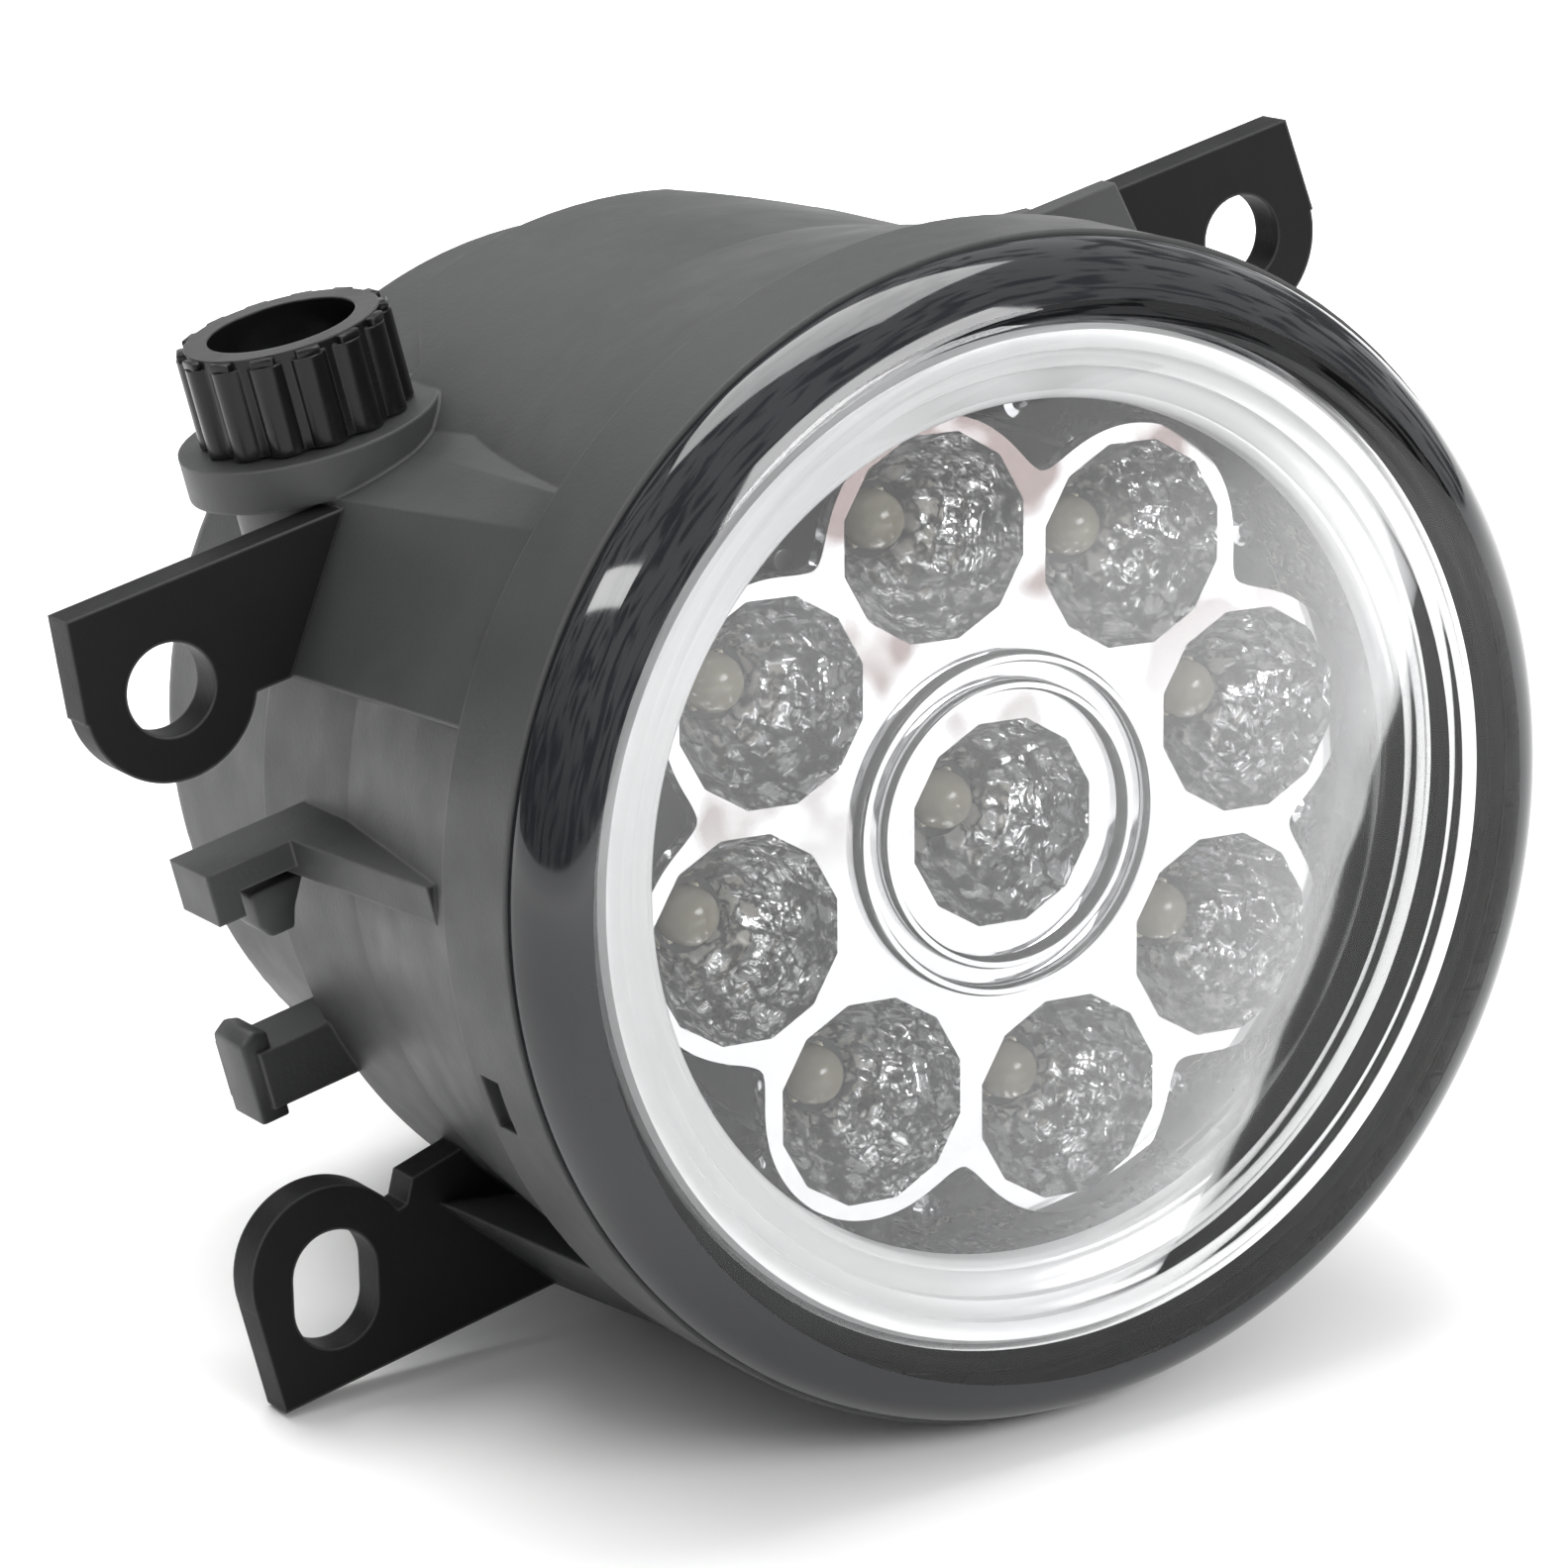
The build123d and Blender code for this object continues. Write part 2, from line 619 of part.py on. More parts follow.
# ---- heat sink: cast plate with upright fins ----
with BuildPart() as heat_sink:
    with BuildSketch(upright(SINK_Y)):
        Circle(SINK_R)
    extrude(amount=-SINK_T)
    with BuildSketch(upright(CARRIER_Y)):
        for k in range(FIN_COUNT):
            fin_x = FIN_PITCH * (k - (FIN_COUNT - 1) / 2)
            with Locations((fin_x, 0)):
                Rectangle(FIN_T, 2 * (FIN_SPAN_R**2 - fin_x**2) ** 0.5)
    extrude(amount=CARRIER_Y - FIN_END_Y)
    with BuildSketch(upright(CARRIER_Y)):
        with PolarLocations(LEG_RING_R, LEG_COUNT, start_angle=LEG_ANGLE):
            Circle(FIN_RELIEF_R)
    extrude(amount=CARRIER_Y - FIN_END_Y, mode=Mode.SUBTRACT)
    with BuildSketch(upright(SINK_Y)):
        with PolarLocations(LEG_RING_R, LEG_COUNT, start_angle=LEG_ANGLE):
            Circle(BOARD_HOLE_R)
        with PolarLocations(BOWL_SCREW_RING_R, BOWL_SCREW_COUNT, start_angle=90):
            Circle(SCREW_CLEAR_R)
    extrude(amount=-SINK_T, mode=Mode.SUBTRACT)
save(heat_sink.part, "heat_sink")

# ---- carrier: frame that tilts on the pivot pins, with the aiming arm ----
fork_low_z = NUT_Z - FORK_T / 2
fork_high_z = NUT_Z + FORK_T / 2
fork_slot = NUT_NECK / 2 + FORK_GAP
with BuildPart() as carrier:
    with BuildSketch(upright(CARRIER_Y)):
        Circle(CARRIER_R)
        Circle(CARRIER_IN_R, mode=Mode.SUBTRACT)
    extrude(amount=CARRIER_Y - CARRIER_END_Y)
    for side in (-1, 1):
        trunnion = [
            (side * TRUNNION[0], -TRUNNION_HALF),
            (side * TRUNNION[1], -TRUNNION_HALF),
            (side * TRUNNION[1], TRUNNION_HALF),
            (side * TRUNNION[0], TRUNNION_HALF),
        ]
        add(slab(TRUNNION_Y, CARRIER_END_Y, trunnion))
    arm = block(KNOB_X - ARM_HALF, KNOB_X + ARM_HALF, CARRIER_Y + 1.6, FORK_Y + 1.0)
    fork = block(KNOB_X - FORK_HALF, KNOB_X + FORK_HALF, FORK_Y, FORK_END_Y)
    slot = block(KNOB_X - fork_slot, KNOB_X + fork_slot, KNOB_Y - fork_slot - 0.6, FORK_END_Y + 1.0)
    add(shelf(fork_low_z, fork_high_z, arm))
    add(shelf(fork_low_z, fork_high_z, fork))
    add(shelf(fork_low_z - 1.0, fork_high_z + 1.0, slot), mode=Mode.SUBTRACT)
    with BuildSketch(Plane.YZ.offset(-CARRIER_R)):
        with Locations((PIVOT_Y, 0)):
            Circle(PIN_R + PRESS)
    extrude(amount=2 * CARRIER_R, mode=Mode.SUBTRACT)
    with BuildSketch(upright(CARRIER_Y)):
        with PolarLocations(BOWL_SCREW_RING_R, BOWL_SCREW_COUNT, start_angle=90):
            Circle(SCREW_HOLD_R)
    extrude(amount=CARRIER_Y - CARRIER_END_Y, mode=Mode.SUBTRACT)
save(carrier.part, "carrier")

with BuildPart() as pivot_pins:
    for pin_start in (PIN_IN_X, -PIN_IN_X - PIN_LENGTH):
        with BuildSketch(Plane.YZ.offset(pin_start)):
            with Locations((PIVOT_Y, 0)):
                Circle(PIN_R)
        extrude(amount=PIN_LENGTH)
save(pivot_pins.part, "pivot_pins")


def screws(ring, head_y, head, shank_r, tip_y):
    """Ring of screws along the optical axis: ring is (radius, count, first angle), head (radius, height)."""
    ring_r, count, start = ring
    head_r, head_t = head
    out = 1 if tip_y > head_y else -1
    with BuildPart() as group:
        with BuildSketch(upright(head_y)):
            with PolarLocations(ring_r, count, start_angle=start):
                Circle(head_r)
        extrude(amount=out * head_t)
        with BuildSketch(upright(head_y)):
            with PolarLocations(ring_r, count, start_angle=start):
                Circle(shank_r)
        extrude(amount=head_y - tip_y)
        with BuildSketch(upright(head_y - out * head_t)):
            with PolarLocations(ring_r, count, start_angle=start):
                Rectangle(0.6, 1.3 * head_r)
                Rectangle(1.3 * head_r, 0.6)
        extrude(amount=-out * 0.6 * head_t, mode=Mode.SUBTRACT)
    return group.part


bowl_ring = (BOWL_SCREW_RING_R, BOWL_SCREW_COUNT, 90)
leg_ring = (LEG_RING_R, LEG_COUNT, LEG_ANGLE)
cover_ring = (COVER_SCREW_RING_R, COVER_SCREW_COUNT, 45)
save(screws(bowl_ring, BOWL_BASE_Y, (1.7, 1.3), 0.95, CARRIER_END_Y - 0.6), "bowl_screws")
save(screws(leg_ring, CARRIER_Y, (1.9, 1.3), 0.85, BOARD_Y - 5.2), "reflector_screws")
save(screws(cover_ring, COVER_Y + COVER_T, (2.6, 1.8), 1.25, REAR_Y - 6.6), "cover_screws")

# ---- leads between the driver and the LED board ----
PLUG_T = 3.0
LEAD_X = 1.0
LEAD_R = 0.65
lead_start_y = CARRIER_Y + PLUG_T + 0.4
with BuildPart() as lead_plug:
    with BuildSketch(upright(CARRIER_Y)):
        Rectangle(4.0, 5.0)
    extrude(amount=-PLUG_T)
save(lead_plug.part, "lead_plug")

with BuildPart() as inner_leads:
    for lead_x in (-LEAD_X, LEAD_X):
        with BuildLine() as route:
            FilletPolyline(
                (lead_x, lead_start_y, 0),
                (lead_x, 33.0, 0),
                (lead_x, 44.0, -6.0),
                (lead_x, 54.0, -1.0),
                (lead_x, DRIVER_Y - 0.2, -1.0),
                radius=4.0,
            )
        with BuildSketch(Plane(origin=(lead_x, lead_start_y, 0), z_dir=(0, 1, 0))):
            Circle(LEAD_R)
        sweep(path=route.wire())
save(inner_leads.part, "inner_leads")

# ---- aiming nut: square-necked spool between the fork's tines ----
neck_low_z = NUT_Z - NUT_NECK_H / 2
neck_high_z = NUT_Z + NUT_NECK_H / 2
with BuildPart() as aim_nut:
    with BuildSketch(Plane.XY.offset(neck_low_z)):
        with Locations((KNOB_X, KNOB_Y)):
            Rectangle(NUT_NECK, NUT_NECK)
    extrude(amount=NUT_NECK_H)
    add(rod(neck_low_z - NUT_FLANGE_T, neck_low_z, NUT_FLANGE_R))
    add(rod(neck_high_z, neck_high_z + NUT_FLANGE_T, NUT_FLANGE_R))
    add(rod(neck_low_z - 2 * NUT_FLANGE_T, neck_high_z + 2 * NUT_FLANGE_T, SCREW_R + FIT), mode=Mode.SUBTRACT)
save(aim_nut.part, "aim_nut")

# ---- knob: hollow ribbed thumbwheel on the spindle ----
with BuildPart() as aim_knob:
    add(rod(KNOB_BASE_Z, KNOB_TOP_Z, KNOB_CORE_R))
    with BuildSketch(Plane.XY.offset(KNOB_BASE_Z)):
        with Locations((KNOB_X, KNOB_Y)):
            with PolarLocations(KNOB_R - KNOB_RIB_R, KNOB_RIBS):
                Circle(KNOB_RIB_R)
    extrude(amount=KNOB_TOP_Z - KNOB_BASE_Z - KNOB_RIB_DROP)
    add(rod(KNOB_BASE_Z + KNOB_FLOOR, KNOB_TOP_Z + 1, KNOB_HOLLOW_R), mode=Mode.SUBTRACT)
    add(rod(KNOB_BASE_Z, KNOB_BASE_Z + KNOB_FLOOR + 1, SPINDLE_R + PRESS), mode=Mode.SUBTRACT)
save(aim_knob.part, "aim_knob")

# ---- aiming screw: spindle with a hex socket head, plain where the real one is threaded ----
with BuildPart() as aim_screw:
    head_low_z = KNOB_BASE_Z + KNOB_FLOOR
    add(rod(SPINDLE_LOW_Z, head_low_z, SPINDLE_R))
    add(rod(head_low_z, head_low_z + SOCKET_HEAD_T, SOCKET_HEAD_R))
    add(rod(SCREW_TIP_Z, SPINDLE_LOW_Z, SCREW_R))
    with BuildSketch(Plane.XY.offset(head_low_z + SOCKET_FLOOR)):
        with Locations((KNOB_X, KNOB_Y)):
            RegularPolygon(SOCKET_HEX_R, 6)
    extrude(amount=SOCKET_HEAD_T, mode=Mode.SUBTRACT)
    with BuildSketch(Plane.XY.offset(CLIP_Z - FIT)):
        with Locations((KNOB_X, KNOB_Y)):
            Circle(SPINDLE_R + 0.5)
            Circle(CLIP_GROOVE_R, mode=Mode.SUBTRACT)
    extrude(amount=CLIP_T + 2 * FIT, mode=Mode.SUBTRACT)
save(aim_screw.part, "aim_screw")

with BuildPart() as screw_clip:
    with BuildSketch(Plane.XY.offset(CLIP_Z)):
        with Locations((KNOB_X, KNOB_Y)):
            Circle(CLIP_R)
            Circle(CLIP_GROOVE_R + FIT, mode=Mode.SUBTRACT)
        with Locations((KNOB_X, KNOB_Y - CLIP_MOUTH_OUT)):
            Rectangle(*CLIP_MOUTH, mode=Mode.SUBTRACT)
    extrude(amount=CLIP_T)
save(screw_clip.part, "screw_clip")

with BuildPart() as knob_seal:
    with BuildSketch(Plane((KNOB_X, KNOB_Y, BOSS_TOP_Z - 1.4), x_dir=(1, 0, 0), z_dir=(0, -1, 0))):
        with Locations((SEAL_RING_R, 0)):
            Circle(SEAL_CORD_R)
    revolve(axis=Axis((KNOB_X, KNOB_Y, 0), (0, 0, 1)))
save(knob_seal.part, "knob_seal")

# ---- rear cover with the two-pin inlet, its gasket and vent ----
with BuildPart() as cover_gasket:
    with BuildSketch(upright(REAR_Y)):
        Circle(COVER_R)
        Circle(REAR_OPENING_R + 0.4, mode=Mode.SUBTRACT)
        with PolarLocations(COVER_SCREW_RING_R, COVER_SCREW_COUNT, start_angle=45):
            Circle(COVER_HOLE_R, mode=Mode.SUBTRACT)
    extrude(amount=REAR_Y - COVER_Y)
save(cover_gasket.part, "cover_gasket")

with BuildPart() as rear_cover:
    with BuildSketch(upright(COVER_Y)):
        Circle(COVER_R)
    extrude(amount=-COVER_T)
    with BuildSketch(upright(COVER_Y)):
        Circle(REAR_OPENING_R - 0.3)
        Circle(REAR_OPENING_R - 0.3 - COVER_SPIGOT_T, mode=Mode.SUBTRACT)
    extrude(amount=COVER_SPIGOT_DEPTH)
    # posts for the driver board
    with BuildSketch(upright(COVER_Y)):
        with GridLocations(*POST_PITCH, 2, 2):
            Circle(POST_R)
    extrude(amount=COVER_Y - DRIVER_Y - DRIVER_T)
    # inlet shroud
    with BuildSketch(upright(COVER_Y + COVER_T)):
        with Locations((0, INLET_Z)):
            RectangleRounded(*INLET_SIZE, 2.2)
    extrude(amount=COVER_Y + COVER_T - INLET_END_Y)
    with BuildSketch(upright(INLET_FLOOR_Y)):
        with Locations((0, INLET_Z)):
            RectangleRounded(*INLET_BORE, 1.4)
    extrude(amount=INLET_FLOOR_Y - INLET_END_Y, mode=Mode.SUBTRACT)
    add(slab(LATCH_Y, LATCH_END_Y, LATCH))
    # blade slots, vent hole and screw holes
    with BuildSketch(upright(COVER_Y)):
        with Locations(*blades):
            Rectangle(*BLADE_SLOT)
        with Locations((0, VENT_Z)):
            Circle(VENT_STEM_R + FIT)
        with PolarLocations(COVER_SCREW_RING_R, COVER_SCREW_COUNT, start_angle=45):
            Circle(COVER_HOLE_R)
    extrude(amount=-COVER_T - 1.0, mode=Mode.SUBTRACT)
save(rear_cover.part, "rear_cover")

with BuildPart() as terminals:
    with BuildSketch(upright(DRIVER_Y - 1.0)):
        with Locations(*blades):
            Rectangle(*BLADE_SIZE)
    extrude(amount=DRIVER_Y - 1.0 - BLADE_END_Y)
save(terminals.part, "terminals")

with BuildPart() as vent_cap:
    with BuildSketch(upright(COVER_Y + COVER_T)):
        with Locations((0, VENT_Z)):
            Circle(VENT_R)
    extrude(amount=-VENT_T)
    with BuildSketch(upright(COVER_Y - 0.8)):
        with Locations((0, VENT_Z)):
            Circle(VENT_STEM_R)
    extrude(amount=-COVER_T - 0.8)
save(vent_cap.part, "vent_cap")

# ---- driver board and its parts ----
with BuildPart() as driver_board:
    with BuildSketch(upright(DRIVER_Y)):
        RectangleRounded(*DRIVER_SIZE, 2.0)
        with Locations(*blades):
            Rectangle(*BLADE_SLOT, mode=Mode.SUBTRACT)
    extrude(amount=-DRIVER_T)
save(driver_board.part, "driver_board")

with BuildPart() as driver_inductor:
    with BuildSketch(upright(DRIVER_Y)):
        with Locations((-10.5, 4.5)):
            Circle(5.0)
    extrude(amount=5.5)
save(driver_inductor.part, "driver_inductor")

with BuildPart() as driver_capacitors:
    with BuildSketch(upright(DRIVER_Y)):
        with Locations((11.0, 5.5), (11.0, -5.5)):
            Circle(4.0)
    extrude(amount=9.0)
save(driver_capacitors.part, "driver_capacitors")

with BuildPart() as driver_chips:
    with BuildSketch(upright(DRIVER_Y)):
        with Locations((-10.5, -6.5)):
            Rectangle(6.0, 5.0)
        with Locations((0, 7.5)):
            Rectangle(5.0, 3.0)
    extrude(amount=1.6)
save(driver_chips.part, "driver_chips")
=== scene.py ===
from math import atan2, cos, hypot, pi, radians, sin, sqrt

import bmesh
import bpy
from mathutils import Matrix, Vector, noise


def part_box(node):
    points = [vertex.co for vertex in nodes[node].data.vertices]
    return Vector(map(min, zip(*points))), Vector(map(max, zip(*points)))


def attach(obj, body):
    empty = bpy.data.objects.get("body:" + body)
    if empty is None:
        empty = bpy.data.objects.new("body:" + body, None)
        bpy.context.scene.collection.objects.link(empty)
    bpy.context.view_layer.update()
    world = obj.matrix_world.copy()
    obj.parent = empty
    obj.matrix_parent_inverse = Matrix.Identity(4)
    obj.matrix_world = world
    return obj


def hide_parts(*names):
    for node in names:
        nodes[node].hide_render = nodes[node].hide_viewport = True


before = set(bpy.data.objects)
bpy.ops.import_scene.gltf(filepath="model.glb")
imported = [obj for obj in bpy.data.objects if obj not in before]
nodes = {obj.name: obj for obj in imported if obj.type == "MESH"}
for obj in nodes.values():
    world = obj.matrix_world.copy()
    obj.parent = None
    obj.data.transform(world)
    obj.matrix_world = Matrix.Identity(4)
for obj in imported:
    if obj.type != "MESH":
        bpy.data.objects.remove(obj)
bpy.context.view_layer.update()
scene = bpy.context.scene

# ---- camera ----
# A long lens a little above the lamp and to its left, so the round front, the barrel's
# left wall and the knob all show.
eye = Vector((-0.20032, -0.35922, 0.16499))
ahead = Vector((0.42006, 0.83526, -0.35481))
above = Vector((0.37341, 0.19726, 0.90645))
across = ahead.cross(above)
camera_data = bpy.data.cameras.new("studio_camera")
camera_data.sensor_width = 36
camera_data.lens = 136.45
camera_data.clip_start = 0.01
camera = bpy.data.objects.new("studio_camera", camera_data)
scene.collection.objects.link(camera)
camera.matrix_world = Matrix(
    (
        (across.x, above.x, -ahead.x, eye.x),
        (across.y, above.y, -ahead.y, eye.y),
        (across.z, above.z, -ahead.z, eye.z),
        (0, 0, 0, 1),
    )
)
scene.camera = camera
scene.view_settings.view_transform = "Standard"

# ---- floor ----
# Pale matt board. The lamp lies on the rim of its collar, the barrel's rear edge and the
# tip of its lower ear, so the board is tilted to touch all three.
floor_up = Vector((0.178, -0.0935, 0.980)).normalized()
floor_drop = -0.0463
floor_size = 6.0


def shader(name):
    """New node material: the material, its node tree and its main shader."""
    made = bpy.data.materials.new(name)
    made.use_nodes = True
    return made, made.node_tree, made.node_tree.nodes["Principled BSDF"]


def lay(tree, kind, **sockets):
    """Adds a node and sets its named sockets or properties."""
    node = tree.nodes.new(kind)
    for key, value in sockets.items():
        if hasattr(node, key):
            setattr(node, key, value)
        else:
            node.inputs[key.replace("_", " ")].default_value = value
    return node


def grain(tree, size, detail=3.0, rough=0.5):
    """Noise in the piece's own space; size is that of one speckle, in metres."""
    place = lay(tree, "ShaderNodeTexCoord")
    speckle = lay(tree, "ShaderNodeTexNoise", Scale=1 / size, Detail=detail, Roughness=rough)
    tree.links.new(place.outputs["Object"], speckle.inputs["Vector"])
    return speckle.outputs["Fac"]


def between(tree, amount, low, high, start=0.3, end=0.7):
    """Turns a 0 to 1 amount into a number from low to high."""
    spread = lay(tree, "ShaderNodeMapRange")
    for key, value in (("From Min", start), ("From Max", end), ("To Min", low), ("To Max", high)):
        spread.inputs[key].default_value = value
    tree.links.new(amount, spread.inputs["Value"])
    return spread.outputs["Result"]


def blended(tree, amount, first, second):
    """Colour that goes from first to second with amount."""
    mix = lay(tree, "ShaderNodeMix", data_type="RGBA")
    mix.inputs[6].default_value = (*first, 1)
    mix.inputs[7].default_value = (*second, 1)
    tree.links.new(amount, mix.inputs[0])
    return mix.outputs[2]


board_finish, tree, surface = shader("floor_board")
board_colour = blended(tree, grain(tree, 0.4), (0.93, 0.93, 0.93), (0.96, 0.96, 0.955))
tree.links.new(board_colour, surface.inputs["Base Color"])
surface.inputs["Roughness"].default_value = 0.7
surface.inputs["Specular IOR Level"].default_value = 0.2
surface.inputs["Emission Color"].default_value = (1, 1, 1, 1)
# The board glows towards its edges, so it runs into the white room without a horizon.
from_lamp = lay(tree, "ShaderNodeVectorMath", operation="LENGTH")
tree.links.new(lay(tree, "ShaderNodeTexCoord").outputs["Object"], from_lamp.inputs[0])
glow = between(tree, from_lamp.outputs["Value"], 0.0, 1.0, 0.16, 0.55)
tree.links.new(glow, surface.inputs["Emission Strength"])
# Seen from below it is clear, because the board is tilted and would hide the lamp from low down.
side = lay(tree, "ShaderNodeNewGeometry")
from_below = lay(tree, "ShaderNodeMixShader")
tree.links.new(side.outputs["Backfacing"], from_below.inputs["Fac"])
tree.links.new(surface.outputs["BSDF"], from_below.inputs[1])
tree.links.new(lay(tree, "ShaderNodeBsdfTransparent").outputs["BSDF"], from_below.inputs[2])
tree.links.new(from_below.outputs["Shader"], tree.nodes["Material Output"].inputs["Surface"])
board_mesh = bpy.data.meshes.new("floor_board")
board = bmesh.new()
bmesh.ops.create_grid(board, x_segments=8, y_segments=8, size=floor_size)
board.to_mesh(board_mesh)
board.free()
board_mesh.materials.append(board_finish)
floor = bpy.data.objects.new("floor_board", board_mesh)
scene.collection.objects.link(floor)
floor_turn = floor_up.to_track_quat("Z", "Y").to_matrix().to_4x4()
floor.matrix_world = Matrix.Translation(floor_up * floor_drop) @ floor_turn

# ---- studio light ----
# A pale room that is darkest on the left, with a soft overhead panel, a narrow high window that
# gives the gloss parts their long streak, and a low fill in front.
panels = (
    ("overhead_panel", (0.15, 0.20, 0.80), (0.0, 0.03, 0.0), 0.80, 0.50, 8.0),
    ("high_window", (-0.52, -0.05, 0.66), (0.0, 0.0, 0.0), 0.62, 0.10, 2.4),
    ("front_fill", (0.35, -0.95, 0.40), (0.0, 0.0, 0.0), 0.60, 0.34, 7.0),
)
for name, spot, aim, width, depth, watts in panels:
    panel_data = bpy.data.lights.new(name, "AREA")
    panel_data.shape = "RECTANGLE"
    panel_data.size = width
    panel_data.size_y = depth
    panel_data.energy = watts
    panel = bpy.data.objects.new(name, panel_data)
    scene.collection.objects.link(panel)
    panel_turn = (Vector(aim) - Vector(spot)).to_track_quat("-Z", "Y").to_matrix().to_4x4()
    panel.matrix_world = Matrix.Translation(spot) @ panel_turn
    panel.visible_diffuse = name != "high_window"

room = bpy.data.worlds.new("pale_room")
scene.world = room
room.use_nodes = True
tree = room.node_tree
wall = tree.nodes["Background"]
place = lay(tree, "ShaderNodeTexCoord")
height = lay(tree, "ShaderNodeVectorMath", operation="DOT_PRODUCT")
height.inputs[1].default_value = (0.55, -0.15, 0.82)
tree.links.new(place.outputs["Generated"], height.inputs[0])
# Polished parts see a mottled room, matt parts a smooth one, and the camera plain white.
branches = lay(tree, "ShaderNodeTexNoise", Scale=5.0, Detail=1.5, Roughness=0.5, Distortion=1.6)
tree.links.new(place.outputs["Generated"], branches.inputs["Vector"])
level = between(tree, height.outputs["Value"], 0.32, 1.25, -0.25, 0.70)
streaks = between(tree, branches.outputs["Fac"], 0.15, 1.30, 0.44, 0.52)
mottled = lay(tree, "ShaderNodeMath", operation="MULTIPLY")
tree.links.new(level, mottled.inputs[0])
tree.links.new(streaks, mottled.inputs[1])
room_colour = blended(tree, mottled.outputs["Value"], (0, 0, 0), (1.0, 1.0, 1.01))
tree.links.new(room_colour, wall.inputs["Color"])
bright = lay(tree, "ShaderNodeBackground")
bright.inputs["Color"].default_value = (1, 1, 1, 1)
ray = lay(tree, "ShaderNodeLightPath")
soft = lay(tree, "ShaderNodeBackground")
fade = between(tree, height.outputs["Value"], 0.05, 1.15, -0.10, 0.80)
tree.links.new(blended(tree, fade, (0, 0, 0), (1.0, 1.0, 1.0)), soft.inputs["Color"])
lit = lay(tree, "ShaderNodeMixShader")
tree.links.new(ray.outputs["Is Diffuse Ray"], lit.inputs["Fac"])
tree.links.new(wall.outputs["Background"], lit.inputs[1])
tree.links.new(soft.outputs["Background"], lit.inputs[2])
either = lay(tree, "ShaderNodeMixShader")
tree.links.new(ray.outputs["Is Camera Ray"], either.inputs["Fac"])
tree.links.new(lit.outputs["Shader"], either.inputs[1])
tree.links.new(bright.outputs["Background"], either.inputs[2])
tree.links.new(either.outputs["Shader"], tree.nodes["World Output"].inputs["Surface"])

# ---- housing and its ears ----
# One glass-filled moulding in satin charcoal: tapered barrel, collar, knob boss and hooks,
# with three flat fixing ears. The ears' near-black colour and weaker shine are painted shade.


def soft_edges(tree, surface, radius, height, bump_strength, bump_depth):
    """Rounds sharp edges in the shading and adds surface texture on top."""
    eased = lay(tree, "ShaderNodeBevel", samples=4, Radius=radius)
    texture = lay(tree, "ShaderNodeBump", Strength=bump_strength, Distance=bump_depth)
    tree.links.new(height, texture.inputs["Height"])
    tree.links.new(eased.outputs["Normal"], texture.inputs["Normal"])
    tree.links.new(texture.outputs["Normal"], surface.inputs["Normal"])
    return eased.outputs["Normal"]


def edge_highlight_amount(tree, eased_normal):
    """Painted edge highlight amount: 0 on flat faces, up to 1 on rounded edges."""
    facing = lay(tree, "ShaderNodeNewGeometry")
    turn = lay(tree, "ShaderNodeVectorMath", operation="DOT_PRODUCT")
    tree.links.new(eased_normal, turn.inputs[0])
    tree.links.new(facing.outputs["Normal"], turn.inputs[1])
    return between(tree, turn.outputs["Value"], 1, 0, 0.80, 0.99)


def moulded(
    name, dark, light, edge, roughness, grain_size=0.00045, bump=0.25, edge_radius=0.0004, shine=0.45
):
    """Moulded plastic: fine grain, cloudy colour, and a painted highlight that makes rounded edges
    slightly paler.
    """
    made, tree, surface = shader(name)
    surface.inputs["Specular IOR Level"].default_value = shine
    eased = soft_edges(tree, surface, edge_radius, grain(tree, grain_size, 5.0, 0.6), bump, 0.00012)
    clouds = blended(tree, grain(tree, 0.014, 4.0), dark, light)
    # Painted highlight: rounded edges are mixed towards the paler edge colour.
    edge_highlighted = lay(tree, "ShaderNodeMix", data_type="RGBA")
    edge_highlighted.inputs[7].default_value = (*edge, 1)
    tree.links.new(clouds, edge_highlighted.inputs[6])
    tree.links.new(edge_highlight_amount(tree, eased), edge_highlighted.inputs[0])
    tree.links.new(edge_highlighted.outputs[2], surface.inputs["Base Color"])
    spread = between(tree, grain(tree, 0.006, 4.0), roughness - 0.05, roughness + 0.07)
    tree.links.new(spread, surface.inputs["Roughness"])
    return made


def dress(node_name, finish):
    """Gives a CAD node its finish."""
    node = nodes[node_name]
    node.data.materials.clear()
    node.data.materials.append(finish)


charcoal_dark = (0.026, 0.027, 0.027)
charcoal_light = (0.037, 0.038, 0.037)
# The third colour is a painted highlight along rounded edges.
charcoal_edge_highlight = (0.10, 0.10, 0.10)
charcoal = moulded("satin_charcoal", charcoal_dark, charcoal_light, charcoal_edge_highlight, 0.48)
# Painted shade: the ears get a far darker copy of the charcoal and less shine.
ear_shaded_dark = (0.006, 0.006, 0.006)
ear_shaded_light = (0.010, 0.010, 0.010)
ear_shaded_black = moulded("painted_shade_ear_black", ear_shaded_dark, ear_shaded_light, (0.11, 0.11, 0.11), 0.45, shine=0.10)
dress("housing", charcoal)
for ear in ("left_ear", "right_ear", "lower_ear"):
    dress(ear, ear_shaded_black)

# ---- claws on the locating hooks ----
# A tooth moulded under the upper hook and a flange on the end of the lower catch, which snap
# behind the bumper bracket. Same charcoal plastic as the housing, with the corners broken.
MM = 0.001


def set_down(shape, name, sharp_degrees):
    """Turns a finished bmesh into a piece in the scene; corners past the angle stay sharp."""
    made = bpy.data.meshes.new(name)
    shape.to_mesh(made)
    shape.free()
    made.set_sharp_from_angle(angle=radians(sharp_degrees))
    piece = bpy.data.objects.new(name, made)
    scene.collection.objects.link(piece)
    return piece


def break_corners(shape, width):
    """Rounds every edge of a block by width, in mm, and smooths its faces."""
    bmesh.ops.recalc_face_normals(shape, faces=shape.faces)
    bmesh.ops.bevel(
        shape, geom=shape.edges[:], offset=width * MM, segments=2, profile=0.5, affect="EDGES"
    )
    for face in shape.faces:
        face.smooth = True


